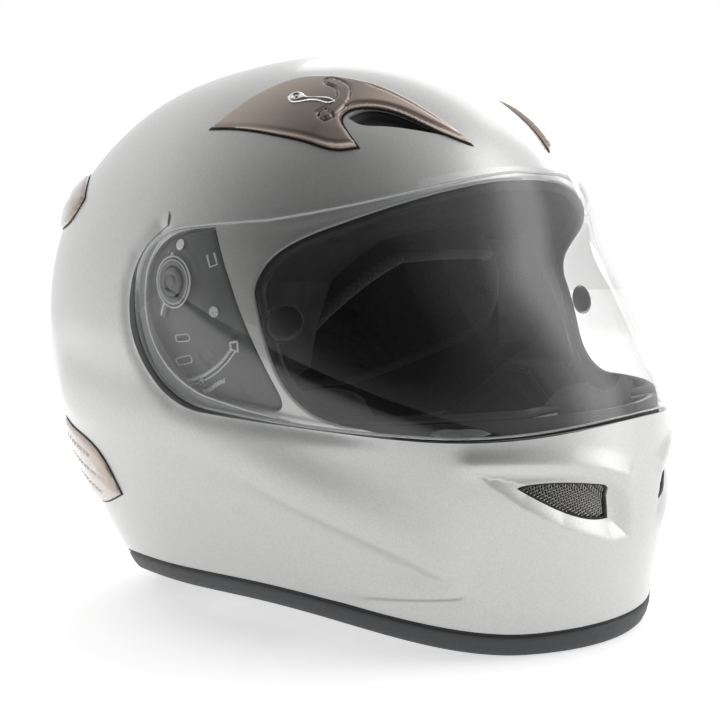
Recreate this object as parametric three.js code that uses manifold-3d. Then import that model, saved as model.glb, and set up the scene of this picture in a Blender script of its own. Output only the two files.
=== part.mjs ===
// Full-face motorcycle helmet with a pivoting clear visor, built as separate pieces.
// Millimetres, +Z up. The face looks along -Y, and the rider's left hand side is +X.
// The origin is the middle of the helmet's footprint, on the surface it stands on.
import * as THREE from 'three';
import { mergeVertices } from 'three/addons/utils/BufferGeometryUtils.js';
import Module from 'manifold-3d';

const wasm = await Module();
wasm.setup();

// ---------------------------------------------------------------- driving dimensions

const AXIS_Y = 2.6; // the upright axis that the shell's outlines are measured from
const CORE_Z = 135; // height of the point that the shell's radius is measured from
const CROWN_Z = 268.5;

// Half outlines of the shell: [distance from the axis, height].
const FRONT_LINE = [
  [152, -15], [163, 0], [167, 19], [175, 55], [174.5, 87],
  [172, 111], [156, 149], [136, 183], [114, 218], [71, 253],
];
const REAR_LINE = [
  [107, -15], [115, 2], [137, 41], [156, 79], [169, 125],
  [168.5, 165], [151, 207], [113, 242], [64, 262],
];
const SIDE_LINE = [
  [84, -15], [95, 10], [107, 33], [120, 70], [129, 114],
  [128, 150], [120.5, 187], [104, 218], [79, 245], [43, 262],
];

const SHELL_WALL = 4.5;
const RIM_RISE = 19; // how far the lower rim arches up at the sides
const RIM_FLAT = 0.3; // share of the half turn, at the chin and the nape, where the rim is level
const TRIM_HEIGHT = 10;
const TRIM_WALL = 6;
const TRIM_PROUD = 0.8;
const GAP = 0.3; // air between touching pieces

// The visor is a thin skin around its hinge axis, which runs along X through this point.
const PIVOT_Y = -20;
const PIVOT_Z = 160;
const VISOR_HALF_WIDTH = 128;
const VISOR_REACH = 114; // from the hinge axis to the visor at the brow
const VISOR_REACH_RISE = 77.5; // how much further it stands out towards the chin
const RISE_FROM = 10; // degrees above straight ahead where it starts to stand out further
const RISE_SPAN = 57; // degrees that the rise takes
const VISOR_ROUNDNESS = 1.9;
const VISOR_WALL = 2.2;

// Depths below the visor's outer surface.
const FLOOR_DEPTH = 4.6; // the shell's visor recess
const PLATE_TOP = 5.6; // the hinge base plate
const PLATE_BOTTOM = 8.6;
const POCKET_DEPTH = 8.9; // the shell's pocket for the plate
const POCKET_BACK = 12; // the inside of the shell behind the plate

const HEAD_CENTRE = [0, 16, 120];
const FOAM_INNER = [88, 114, 106]; // half sizes of the hollow in the crown foam
const LINER_WALL = 8;

// ---------------------------------------------------------------- small helpers

const smooth = (t) => {
  const c = Math.min(Math.max(t, 0), 1);
  return c * c * (3 - 2 * c);
};

/** Natural cubic spline through (knots[i], values[i]), level outside its ends. */
function spline(knots, values) {
  const n = knots.length;
  const bend = new Array(n).fill(0);
  const share = new Array(n).fill(0);
  for (let i = 1; i < n - 1; i += 1) {
    const left = knots[i] - knots[i - 1];
    const right = knots[i + 1] - knots[i];
    const slope = (values[i + 1] - values[i]) / right - (values[i] - values[i - 1]) / left;
    const pivot = 2 * (left + right) - left * share[i - 1];
    share[i] = right / pivot;
    bend[i] = (6 * slope - left * bend[i - 1]) / pivot;
  }
  for (let i = n - 2; i > 0; i -= 1) {
    bend[i] -= share[i] * bend[i + 1];
  }
  return (t) => {
    const x = Math.min(Math.max(t, knots[0]), knots[n - 1]);
    let i = 0;
    while (i < n - 2 && x > knots[i + 1]) i += 1;
    const h = knots[i + 1] - knots[i];
    const a = (knots[i + 1] - x) / h;
    const b = (x - knots[i]) / h;
    const curve = ((a ** 3 - a) * bend[i] + (b ** 3 - b) * bend[i + 1]) * (h * h) / 6;
    return a * values[i] + b * values[i + 1] + curve;
  };
}

/** Radius from the core point as a function of elevation, for one half outline. */
function radiusCurve(line) {
  const points = line.map(([out, z]) => [Math.atan2(z - CORE_Z, out), Math.hypot(z - CORE_Z, out)]);
  const beyond = points.slice(-2).reverse().map(([angle, r]) => [Math.PI - angle, r]);
  const all = [...points, [Math.PI / 2, CROWN_Z - CORE_Z], ...beyond];
  return spline(all.map((p) => p[0]), all.map((p) => p[1]));
}

const frontRadius = radiusCurve(FRONT_LINE);
const rearRadius = radiusCurve(REAR_LINE);
const sideRadius = radiusCurve(SIDE_LINE);

/** Distance from the core point to the shell's outer surface in a direction. */
function shellRadius(direction) {
  const level = Math.hypot(direction.x, direction.y);
  const angle = Math.atan2(direction.z, level);
  const across = level ? direction.x / level : 1;
  const along = level ? direction.y / level : 0;
  const end = along < 0 ? frontRadius(angle) : rearRadius(angle);
  return 1 / Math.hypot(across / sideRadius(angle), along / end);
}

/** Height of the lower rim in a direction round the axis. */
function rimHeight(x, y) {
  const sideways = Math.abs(x) / Math.max(Math.hypot(x, y), 1e-9);
  return RIM_RISE * smooth((sideways - RIM_FLAT) / (1 - RIM_FLAT));
}

function signedVolume(position, index) {
  const [a, b, c] = [new THREE.Vector3(), new THREE.Vector3(), new THREE.Vector3()];
  let sum = 0;
  for (let i = 0; i < index.length; i += 3) {
    a.fromArray(position, index[i] * 3);
    b.fromArray(position, index[i + 1] * 3);
    c.fromArray(position, index[i + 2] * 3);
    sum += a.dot(b.cross(c));
  }
  return sum / 6;
}

/** A three.js geometry as a solid that can be joined and cut. */
function solid(source) {
  const geometry = source.clone();
  geometry.deleteAttribute('normal');
  geometry.deleteAttribute('uv');
  const merged = mergeVertices(geometry, 1e-4);
  const vertProperties = new Float32Array(merged.attributes.position.array);
  const triVerts = new Uint32Array(merged.index.array);
  if (signedVolume(vertProperties, triVerts) < 0) {
    for (let i = 0; i < triVerts.length; i += 3) {
      [triVerts[i], triVerts[i + 1]] = [triVerts[i + 1], triVerts[i]];
    }
  }
  return new wasm.Manifold(new wasm.Mesh({ numProp: 3, vertProperties, triVerts }));
}

/** The solid back as a three.js geometry. */
function geometryOf(manifold) {
  const mesh = manifold.getMesh();
  const geometry = new THREE.BufferGeometry();
  geometry.setAttribute('position', new THREE.BufferAttribute(mesh.vertProperties, 3));
  geometry.setIndex(new THREE.BufferAttribute(mesh.triVerts, 1));
  return geometry;
}

const SIDE_VIEW = new THREE.Matrix4().makeBasis(
  new THREE.Vector3(0, 1, 0),
  new THREE.Vector3(0, 0, 1),
  new THREE.Vector3(1, 0, 0),
);
const FRONT_VIEW = new THREE.Matrix4().makeBasis(
  new THREE.Vector3(1, 0, 0),
  new THREE.Vector3(0, 0, 1),
  new THREE.Vector3(0, -1, 0),
);
const TOP_VIEW = new THREE.Matrix4();

/** A shape pushed from one depth to another along the third axis of its view. */
function prism(shape, view, from, to, steps = 6) {
  const geometry = new THREE.ExtrudeGeometry(shape, {
    depth: to - from,
    bevelEnabled: false,
    curveSegments: steps,
  });
  geometry.translate(0, 0, from);
  geometry.applyMatrix4(view);
  return solid(geometry);
}

/** A shape whose outline is moved outwards by a distance, or inwards if it is negative. */
function grown(shape, distance, steps = 6) {
  const points = shape.getPoints(steps).filter((p, i, all) => i === 0 || p.distanceTo(all[i - 1]) > 0.05);
  if (points[0].distanceTo(points[points.length - 1]) < 0.05) points.pop();
  const turn = THREE.ShapeUtils.isClockWise(points) ? -1 : 1;
  const moved = points.map((p, i) => {
    const before = points[(i + points.length - 1) % points.length];
    const after = points[(i + 1) % points.length];
    const into = p.clone().sub(before).normalize();
    const away = after.clone().sub(p).normalize();
    const middle = into.clone().add(away).normalize();
    const normal = new THREE.Vector2(middle.y, -middle.x).multiplyScalar(turn);
    const stretch = 1 / Math.max(Math.sqrt((1 + into.dot(away)) / 2), 0.5);
    return p.clone().addScaledVector(normal, distance * stretch);
  });
  return new THREE.Shape(moved);
}

/** A solid whose surface stands off the shell's outer surface by an offset. */
const shellCache = new Map();
function shellSolid(offset, around = 44, down = 28) {
  const key = `${offset} ${around} ${down}`;
  if (!shellCache.has(key)) {
    const geometry = new THREE.SphereGeometry(1, around, down);
    const position = geometry.attributes.position;
    const direction = new THREE.Vector3();
    for (let i = 0; i < position.count; i += 1) {
      direction.set(position.getX(i), -position.getZ(i), position.getY(i)).normalize();
      const reach = shellRadius(direction) + offset;
      position.setXYZ(i, direction.x * reach, AXIS_Y + direction.y * reach, CORE_Z + direction.z * reach);
    }
    shellCache.set(key, solid(geometry));
  }
  return shellCache.get(key);
}

/** The visor's distance from the hinge axis by angle above straight ahead, in degrees. */
function visorReach(angle) {
  const forward = smooth((RISE_FROM - angle) / RISE_SPAN);
  const behind = smooth((angle + 180) / 80);
  return VISOR_REACH + VISOR_REACH_RISE * Math.min(forward, behind);
}

/** The same for what lies under the visor, which leaves room for the visor's whole swing. */
function floorReach(angle) {
  const forward = smooth((RISE_FROM - angle) / RISE_SPAN);
  const behind = smooth((angle + 122) / 80);
  return VISOR_REACH + VISOR_REACH_RISE * Math.min(forward, behind);
}

/** The body enclosed by the visor's outer surface, shrunk by a depth. */
const wingCache = new Map();
function wingSolid(depth, reach = visorReach) {
  const key = `${depth} ${reach.name}`;
  if (!wingCache.has(key)) {
    const geometry = new THREE.SphereGeometry(1, 40, 20);
    const position = geometry.attributes.position;
    const width = VISOR_HALF_WIDTH - depth;
    const power = 2 / VISOR_ROUNDNESS;
    for (let i = 0; i < position.count; i += 1) {
      const across = position.getY(i);
      const level = Math.hypot(position.getX(i), position.getZ(i));
      const angle = Math.atan2(position.getZ(i), position.getX(i));
      const ring = (reach(THREE.MathUtils.radToDeg(angle)) - depth) * Math.min(level, 1) ** power;
      const x = Math.sign(across) * width * Math.min(Math.abs(across), 1) ** power;
      position.setXYZ(i, x, PIVOT_Y - ring * Math.cos(angle), PIVOT_Z + ring * Math.sin(angle));
    }
    wingCache.set(key, solid(geometry));
  }
  return wingCache.get(key);
}

/** Everything below the rim's curve raised by a height. */
function belowRim(height) {
  const far = 320;
  const near = 45;
  const deep = 90;
  const profile = [[0, -deep], [far, -deep], [far, height], [near, height], [0, height]];
  const geometry = new THREE.LatheGeometry(profile.map(([r, y]) => new THREE.Vector2(r, y)), 48);
  geometry.rotateX(Math.PI / 2);
  const position = geometry.attributes.position;
  for (let i = 0; i < position.count; i += 1) {
    const [x, y, z] = [position.getX(i), position.getY(i), position.getZ(i)];
    const rise = z > height - 1 && Math.hypot(x, y) > near - 1 ? rimHeight(x, y) : 0;
    position.setXYZ(i, x, AXIS_Y + y, z + rise);
  }
  return solid(geometry);
}

/** What a recess takes away: the outline right across the helmet, outside a visor-like body. */
function recess(shape, depth) {
  return prism(shape, SIDE_VIEW, -160, 160).subtract(wingSolid(depth, floorReach));
}

/** A piece of the visor-like skin between two depths, on the rider's right. */
function wingLayer(shape, top, bottom, reach = floorReach) {
  return prism(shape, SIDE_VIEW, -150, -60).intersect(wingSolid(top, reach)).subtract(wingSolid(bottom, reach));
}

/** A piece of the shell-like skin between two offsets. */
function shellLayer(body, top, bottom) {
  return body.intersect(shellSolid(top)).subtract(shellSolid(bottom));
}

function disc(y, z, radius) {
  const shape = new THREE.Shape();
  shape.absarc(y, z, radius, 0, Math.PI * 2, false);
  return shape;
}

function polygon(points) {
  return new THREE.Shape(points.map(([a, b]) => new THREE.Vector2(a, b)));
}

function curveThrough(shape, points) {
  shape.splineThru(points.map(([a, b]) => new THREE.Vector2(a, b)));
}

// ---------------------------------------------------------------- outlines, side view [y, z]

/** Visor with its rounded wings; the front end of the outline lies clear of the helmet. */
function visorOutline() {
  const shape = new THREE.Shape();
  shape.moveTo(-30, 183);
  shape.lineTo(-66, 183.6);
  shape.quadraticCurveTo(-104, 187.6, -125, 202.6);
  shape.lineTo(-210, 250);
  shape.lineTo(-210, 112);
  shape.lineTo(-171, 97.5);
  shape.quadraticCurveTo(-152, 91, -118, 96);
  shape.lineTo(-36, 106);
  shape.bezierCurveTo(-14, 108, 4, 126, 6, 148);
  shape.bezierCurveTo(8, 168, -8, 182.5, -30, 183);
  return shape;
}

/** The shell's recess: a little larger than the visor, and open upwards over its swing. */
function recessOutline() {
  const shape = new THREE.Shape();
  shape.moveTo(-13, 200);
  shape.lineTo(-19, 214);
  shape.lineTo(-46, 290);
  shape.lineTo(-210, 290);
  shape.lineTo(-210, 110);
  shape.lineTo(-172, 96);
  shape.quadraticCurveTo(-152, 89.4, -118, 94.4);
  shape.lineTo(-36, 104.4);
  shape.bezierCurveTo(-13, 106.4, 5.5, 125, 7.6, 148);
  shape.bezierCurveTo(9.5, 167, -2, 180, -14, 184.4);
  return shape;
}

function portOutline() {
  const shape = new THREE.Shape();
  shape.moveTo(-210, 232);
  shape.lineTo(-120, 197.5);
  shape.lineTo(-106, 190);
  shape.lineTo(-84, 179);
  shape.bezierCurveTo(-68, 172, -61, 165, -61.5, 154);
  shape.lineTo(-70, 125);
  shape.bezierCurveTo(-74, 112, -84, 101, -100, 100);
  shape.lineTo(-210, 100);
  return shape;
}

function plateOutline() {
  const shape = new THREE.Shape();
  shape.moveTo(-40, 181.4);
  shape.lineTo(-70, 114);
  shape.bezierCurveTo(-73, 107, -69, 105.6, -64, 106.6);
  shape.lineTo(-36, 110);
  shape.bezierCurveTo(-16, 112, 0.5, 128, 2.5, 148);
  shape.bezierCurveTo(4.5, 165, -10, 180.4, -30, 181.2);
  return shape;
}

/** Lower edge of the crown foam: it ends above the eye port, the cheek pads and the neck roll. */
const CROWN_FOAM_OUTLINE = [
  [-210, 300], [-210, 240], [-120, 201], [-84, 183], [-66, 175], [-54, 158],
  [-49, 120], [20, 76], [210, 48], [210, 300],
];
const CHIN_FOAM_OUTLINE = [[-210, 30], [-92, 30], [-92, 94], [-210, 94]];
const CROWN_LINER_OUTLINE = [[-210, 300], [-210, 186], [-70, 168], [-40, 132], [60, 98], [210, 88], [210, 300]];
const CHEEK_OUTLINE = [[-89, 44], [-89, 93], [-74, 111], [-56, 114], [6, 71], [6, 20], [-20, 13], [-62, 16]];
const NECK_OUTLINE = [[42, 9], [42, 60], [60, 57], [210, 45], [210, 9]];

// ---------------------------------------------------------------- outlines, other views

/** Chin side intake, front view [x, z], rider's right. */
function grilleOutline() {
  const shape = new THREE.Shape();
  shape.moveTo(-60, 73);
  shape.quadraticCurveTo(-50, 76, -26, 71);
  shape.quadraticCurveTo(-22.5, 70, -22, 67);
  shape.lineTo(-20.5, 56);
  shape.quadraticCurveTo(-38, 55, -60, 73);
  return shape;
}

// The top vent's own frame: u runs forwards along the vent, v towards the crown, n out of the shell.
const FIN_ORIGIN = new THREE.Vector3(-68, -57.4, 232);
const FIN_U = new THREE.Vector3(0.566, -0.817, -0.108);
const FIN_V = new THREE.Vector3(0.646, 0.358, 0.674);

function finView() {
  const n = new THREE.Vector3().crossVectors(FIN_U, FIN_V).normalize();
  const v = new THREE.Vector3().crossVectors(n, FIN_U).normalize();
  const u = new THREE.Vector3().crossVectors(v, n);
  return new THREE.Matrix4().makeBasis(u, v, n).setPosition(FIN_ORIGIN);
}

/** Shark-fin outline [u, v]: a broad tail, a hooked barb and a slim arm that runs forwards. */
function finOutline() {
  const shape = new THREE.Shape();
  shape.moveTo(-47, -8);
  curveThrough(shape, [[-24, 11.5], [0, 18], [20, 14.5], [44, 3.8], [66, -7]]);
  curveThrough(shape, [[51, -6.5], [34, -2], [19, -2.6], [11.5, -11], [14, -18], [20, -26]]);
  curveThrough(shape, [[12, -28], [-13, -20.5], [-47, -8]]);
  return shape;
}

function mouthOutline() {
  const shape = new THREE.Shape();
  shape.moveTo(52, -7.6);
  curveThrough(shape, [[40, -4], [29, -1.8], [19.5, -4.5], [16, -12]]);
  curveThrough(shape, [[28, -12], [41, -10.5], [52, -7.6]]);
  return shape;
}

function leverOutline() {
  const shape = new THREE.Shape();
  shape.moveTo(-10, -4.5);
  shape.lineTo(5, -4.5);
  shape.absarc(5, -1.5, 3, -Math.PI / 2, Math.PI / 2, false);
  shape.lineTo(-10, 1.5);
  shape.absarc(-10, -1.5, 3, Math.PI / 2, Math.PI * 1.5, false);
  return shape;
}

const REAR_EXHAUST_OUTLINE = [[70, 202], [84, 212], [112, 217], [138, 212], [147, 201], [128, 193], [96, 190], [78, 194]];
const EXTRACTOR_OUTLINE = [[37, 62], [46, 79], [79, 90], [110, 92], [130, 84], [124, 62], [98, 54], [60, 55]];

// ---------------------------------------------------------------- shell and what trims it

/** The hollow that the foam fills; it keeps a wall behind the visor recess and the plate pocket. */
function shellHollow(extra = 0) {
  return shellSolid(-SHELL_WALL - extra, 32, 20)
    .subtract(recess(grown(recessOutline(), 3 + extra), FLOOR_DEPTH + 3 + extra))
    .subtract(recess(grown(plateOutline(), 3 + extra), POCKET_BACK + extra));
}

function finBody(outline, top, bottom) {
  return shellLayer(prism(outline, finView(), -40, 40, 4), top, bottom);
}

function shellBody() {
  let shell = shellSolid(0)
    .subtract(recess(recessOutline(), FLOOR_DEPTH))
    .subtract(recess(grown(plateOutline(), 0.4), POCKET_DEPTH))
    .subtract(shellHollow())
    .subtract(prism(portOutline(), SIDE_VIEW, -160, 160))
    .subtract(belowRim(TRIM_HEIGHT + GAP));
  const grilleHole = prism(grilleOutline(), FRONT_VIEW, 110, 220);
  const mouthHole = prism(mouthOutline(), finView(), -40, 40, 4);
  for (const hole of [grilleHole, mouthHole]) {
    shell = shell.subtract(hole).subtract(mirrored(hole));
  }
  return shell;
}

/** The same solid on the other side of the helmet. */
function mirrored(manifold) {
  return solid(geometryOf(manifold).applyMatrix4(new THREE.Matrix4().makeScale(-1, 1, 1)));
}

function lowerTrim() {
  return shellSolid(TRIM_PROUD)
    .subtract(shellSolid(-TRIM_WALL))
    .intersect(belowRim(TRIM_HEIGHT))
    .subtract(belowRim(0));
}

/** Rubber seal round the eye port, just under the visor. */
function portGasket() {
  const ring = prism(grown(portOutline(), -GAP), SIDE_VIEW, -150, 150)
    .subtract(prism(grown(portOutline(), -3), SIDE_VIEW, -160, 160));
  return ring.intersect(wingSolid(VISOR_WALL + 2, floorReach)).subtract(wingSolid(10, floorReach));
}

// ---------------------------------------------------------------- visor and its hinge

function visorBody() {
  const skin = wingSolid(0).subtract(wingSolid(VISOR_WALL));
  const tabOutline = polygon([[-137, 94.6], [-137, 99.5], [-113, 102], [-113, 96.6]]);
  const tab = prism(tabOutline, SIDE_VIEW, -150, -50)
    .intersect(wingSolid(-4.5))
    .subtract(wingSolid(VISOR_WALL / 2));
  return prism(visorOutline(), SIDE_VIEW, -160, 160).intersect(skin).add(tab);
}

const PIN_PLACE = [-77, 141];
const PIN_RADIUS = 8.5;

function visorPin() {
  return wingLayer(disc(...PIN_PLACE, PIN_RADIUS), VISOR_WALL + GAP, VISOR_WALL + GAP + 1.4, visorReach);
}

function basePlate() {
  return wingLayer(plateOutline(), PLATE_TOP, PLATE_BOTTOM);
}

const HUB_RADIUS = 6.4;
const RING_RADIUS = 10.5;

function pivotHub() {
  return wingLayer(disc(PIVOT_Y, PIVOT_Z, HUB_RADIUS), VISOR_WALL + 0.5, PLATE_TOP - GAP);
}

/** Ring round the hub with a thumb tab that points down and back. */
function releaseLever() {
  const ring = disc(PIVOT_Y, PIVOT_Z, RING_RADIUS);
  const angle = THREE.MathUtils.degToRad(-52);
  const tab = polygon([[0, -2.2], [18, -2.2], [18, 2.2], [0, 2.2]].map(([a, b]) => [
    PIVOT_Y + a * Math.cos(angle) - b * Math.sin(angle),
    PIVOT_Z + a * Math.sin(angle) + b * Math.cos(angle),
  ]));
  const hole = prism(disc(PIVOT_Y, PIVOT_Z, HUB_RADIUS + 0.5), SIDE_VIEW, -160, -60);
  return wingLayer(ring, VISOR_WALL + 0.9, PLATE_TOP - GAP)
    .add(wingLayer(tab, VISOR_WALL + 0.9, PLATE_TOP - GAP))
    .subtract(hole);
}

const SCREW_PLACES = [[-24, 175.6], [-43, 147], [-28, 117]];

function plateScrew([y, z]) {
  return wingLayer(disc(y, z, 2.4), PLATE_TOP - 1.2, PLATE_TOP - GAP);
}

// ---------------------------------------------------------------- vents

const FIN_PROUD = 2.6;

function topVent() {
  return finBody(finOutline(), FIN_PROUD, GAP);
}

function topDuct() {
  return finBody(grown(mouthOutline(), -0.4, 4), -1.6, -SHELL_WALL + GAP);
}

function ventLever() {
  return finBody(leverOutline(), FIN_PROUD + 1.7, FIN_PROUD + 0.9);
}

function chinGrille() {
  return shellLayer(prism(grown(grilleOutline(), -0.4), FRONT_VIEW, 110, 220), -1.6, -3.4);
}

function sideVent(outline, proud) {
  return shellLayer(prism(polygon(outline), SIDE_VIEW, -150, -10), proud, GAP);
}

// ---------------------------------------------------------------- foam and padding

function ellipsoid(half, around = 30, down = 18) {
  const geometry = new THREE.SphereGeometry(1, around, down);
  geometry.rotateX(Math.PI / 2);
  geometry.scale(...half);
  geometry.translate(...HEAD_CENTRE);
  return solid(geometry);
}

function crownFoam() {
  return shellHollow(0.8)
    .subtract(ellipsoid(FOAM_INNER))
    .intersect(prism(polygon(CROWN_FOAM_OUTLINE), SIDE_VIEW, -160, 160));
}

function crownLiner() {
  const outer = ellipsoid(FOAM_INNER.map((half) => half - 0.8));
  const inner = ellipsoid(FOAM_INNER.map((half) => half - 0.8 - LINER_WALL));
  return outer.subtract(inner).intersect(prism(polygon(CROWN_LINER_OUTLINE), SIDE_VIEW, -160, 160));
}

function chinFoam() {
  return shellHollow(0.8)
    .subtract(shellSolid(-28, 32, 20))
    .intersect(prism(polygon(CHIN_FOAM_OUTLINE), SIDE_VIEW, -160, 160));
}

function cheekPad() {
  return prism(polygon(CHEEK_OUTLINE), SIDE_VIEW, -150, -62)
    .intersect(shellHollow(2.9));
}

function neckRoll() {
  return shellSolid(-7.4, 32, 20)
    .subtract(shellSolid(-30, 32, 20))
    .intersect(prism(polygon(NECK_OUTLINE), SIDE_VIEW, -160, 160));
}

function breathDeflector() {
  const outline = new THREE.Shape();
  outline.moveTo(-42, 94.6);
  outline.quadraticCurveTo(-34, 106, -14, 108);
  outline.quadraticCurveTo(0, 104, 14, 108);
  outline.quadraticCurveTo(34, 106, 42, 94.6);
  return prism(outline, FRONT_VIEW, 90, 200).intersect(shellSolid(-15, 32, 20)).subtract(shellSolid(-18, 32, 20));
}

/** Cloth web that closes the gap under the chin. */
function chinCurtain() {
  const outline = new THREE.Shape();
  outline.moveTo(-80, -200);
  outline.lineTo(-80, -98);
  outline.quadraticCurveTo(0, -150, 80, -98);
  outline.lineTo(80, -200);
  return prism(outline, TOP_VIEW, 22, 24).intersect(shellSolid(-8, 32, 20));
}

// ---------------------------------------------------------------- retention strap

const STRAP_FRONT_Y = 13;
const STRAP_WIDTH = 20;
const STRAP_VIEW = FRONT_VIEW;
const RING_BARS = [[-70.7, 31], [-65.7, 31]]; // [x, z] of the two ring bars in the strap's loop

/** Short webbing on the rider's right; its loop holds the rings. */
function shortStrap() {
  const shape = polygon([
    [-105.5, 59], [-103.6, 60], [-84.5, 41], [-75, 35.8], [-63, 35.8], [-61, 31], [-63, 26.2], [-73.4, 26.2],
    [-75.4, 31], [-76, 33.4], [-86, 39.2],
  ]);
  const hole = polygon([[-73.6, 28.4], [-62.8, 28.4], [-62.8, 33.6], [-73.6, 33.6]]);
  shape.holes.push(hole);
  return prism(shape, STRAP_VIEW, -STRAP_FRONT_Y - STRAP_WIDTH, -STRAP_FRONT_Y);
}

/** Long webbing on the rider's left; its free end hangs inside the neck opening. */
function longStrap() {
  const shape = polygon([
    [105.5, 59], [103.6, 60], [84, 40], [70, 28], [52, 18], [46, 13], [46.9, 11.2], [53, 16], [71, 26.2], [85.5, 38.8],
  ]);
  return prism(shape, STRAP_VIEW, -STRAP_FRONT_Y - STRAP_WIDTH, -STRAP_FRONT_Y);
}

function strapAnchor() {
  const plate = prism(polygon([[9, 46], [37, 46], [37, 63], [9, 63]]), SIDE_VIEW, -150, -80);
  return plate.intersect(shellSolid(-SHELL_WALL - 0.4, 32, 20)).subtract(shellSolid(-SHELL_WALL - 2.6, 32, 20));
}

function strapSnap() {
  const geometry = new THREE.CylinderGeometry(6, 6, 2, 16);
  geometry.rotateX(Math.PI / 2);
  geometry.rotateY(THREE.MathUtils.degToRad(-31));
  geometry.translate(60.2, STRAP_FRONT_Y + STRAP_WIDTH / 2, 24.8);
  return solid(geometry);
}

/** Flat D ring: its straight bar lies along Y in the strap's loop, and its bow hangs down. */
function dRing([x, z]) {
  const inner = STRAP_WIDTH / 2 + 1.4;
  const wall = 3.2;
  const ring = new THREE.Shape();
  ring.moveTo(-inner - wall, wall / 2);
  ring.lineTo(-inner - wall, -8);
  ring.absarc(0, -8, inner + wall, Math.PI, Math.PI * 2, false);
  ring.lineTo(inner + wall, wall / 2);
  const hole = new THREE.Path();
  hole.moveTo(-inner, -wall / 2);
  hole.lineTo(inner, -wall / 2);
  hole.lineTo(inner, -8);
  hole.absarc(0, -8, inner, 0, -Math.PI, true);
  ring.holes.push(hole);
  const view = SIDE_VIEW.clone().setPosition(x, STRAP_FRONT_Y + STRAP_WIDTH / 2, z);
  return prism(ring, view, -wall / 2, wall / 2, 8);
}

// ---------------------------------------------------------------- materials and assembly

const LOOKS = {
  silver_paint: [0x9d9fa0, 0.32, 0.75],
  clear_visor: [0xdfe6ea, 0.05, 0],
  bronze_paint: [0x7d6a5e, 0.38, 0.7],
  smoked_vent: [0xa58f7c, 0.25, 0.2],
  black_plastic: [0x3c3d40, 0.55, 0],
  black_rubber: [0x1d1e20, 0.8, 0],
  mesh_black: [0x3a3835, 0.7, 0.1],
  chrome: [0xd8dade, 0.12, 1],
  steel: [0x9a9da1, 0.35, 1],
  foam_grey: [0x4a4b4e, 0.95, 0],
  lining_black: [0x1a1a1c, 0.95, 0],
  webbing_black: [0x202022, 0.9, 0],
};

const helmet = new THREE.Group();

function addPiece(name, body, look) {
  const [color, roughness, metalness] = LOOKS[look];
  const material = new THREE.MeshStandardMaterial({ color, roughness, metalness });
  if (look === 'clear_visor') {
    material.transparent = true;
    material.opacity = 0.3;
  }
  const mesh = new THREE.Mesh(geometryOf(body), material);
  mesh.name = name;
  helmet.add(mesh);
}

/** Adds a piece modelled on the rider's right, and its mirror image on the left. */
function addPair(name, body, look) {
  addPiece(`${name}_right`, body, look);
  addPiece(`${name}_left`, mirrored(body), look);
}

addPiece('outer_shell', shellBody(), 'silver_paint');
addPiece('lower_trim', lowerTrim(), 'black_rubber');
addPiece('port_gasket', portGasket(), 'black_rubber');

addPiece('visor', visorBody(), 'clear_visor');
addPair('visor_pin', visorPin(), 'black_plastic');
addPair('base_plate', basePlate(), 'black_plastic');
addPair('pivot_hub', pivotHub(), 'black_plastic');
addPair('release_lever', releaseLever(), 'black_plastic');
SCREW_PLACES.forEach((place, i) => addPair(`plate_screw_${i + 1}`, plateScrew(place), 'steel'));

addPair('top_vent', topVent(), 'bronze_paint');
addPair('top_duct', topDuct(), 'black_plastic');
addPair('vent_lever', ventLever(), 'chrome');
addPair('chin_grille', chinGrille(), 'mesh_black');
addPair('rear_exhaust', sideVent(REAR_EXHAUST_OUTLINE, 3), 'bronze_paint');
addPair('rear_extractor', sideVent(EXTRACTOR_OUTLINE, 2.6), 'smoked_vent');

addPiece('crown_foam', crownFoam(), 'foam_grey');
addPiece('chin_foam', chinFoam(), 'foam_grey');
addPiece('crown_liner', crownLiner(), 'lining_black');
addPair('cheek_pad', cheekPad(), 'lining_black');
addPiece('neck_roll', neckRoll(), 'lining_black');
addPiece('breath_deflector', breathDeflector(), 'black_rubber');
addPiece('chin_curtain', chinCurtain(), 'lining_black');

addPair('strap_anchor', strapAnchor(), 'steel');
addPiece('short_strap', shortStrap(), 'webbing_black');
addPiece('long_strap', longStrap(), 'webbing_black');
addPiece('strap_snap', strapSnap(), 'black_plastic');
addPiece('d_ring_outer', dRing(RING_BARS[0]), 'steel');
addPiece('d_ring_inner', dRing(RING_BARS[1]), 'steel');

export default helmet;
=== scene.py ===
"""Looks of a full-face motorcycle helmet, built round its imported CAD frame."""

import math

import bmesh
import bpy
import numpy as np
from mathutils import Matrix, Vector
from mathutils.bvhtree import BVHTree
from mathutils.geometry import delaunay_2d_cdt


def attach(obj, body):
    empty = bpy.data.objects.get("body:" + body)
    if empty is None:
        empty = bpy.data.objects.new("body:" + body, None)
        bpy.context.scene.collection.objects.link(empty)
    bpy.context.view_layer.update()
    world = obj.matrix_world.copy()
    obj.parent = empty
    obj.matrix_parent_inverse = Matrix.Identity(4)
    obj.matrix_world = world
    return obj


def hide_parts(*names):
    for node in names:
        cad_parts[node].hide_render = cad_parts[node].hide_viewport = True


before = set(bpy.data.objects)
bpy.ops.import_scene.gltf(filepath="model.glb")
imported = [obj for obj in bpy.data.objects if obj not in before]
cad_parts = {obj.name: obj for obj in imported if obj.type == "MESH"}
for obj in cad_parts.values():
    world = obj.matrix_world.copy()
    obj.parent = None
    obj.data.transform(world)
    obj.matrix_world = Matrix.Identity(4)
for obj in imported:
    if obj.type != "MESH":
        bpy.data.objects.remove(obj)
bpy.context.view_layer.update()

# ------------------------------------------------------------------ sizes, in millimetres
# They repeat the CAD model's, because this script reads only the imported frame.

MM = 0.001
AXIS_Y = 2.6  # of the shell's upright axis
CORE = np.array([0.0, AXIS_Y, 135.0])  # the shell's radii start here
CROWN_Z = 268.5

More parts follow.
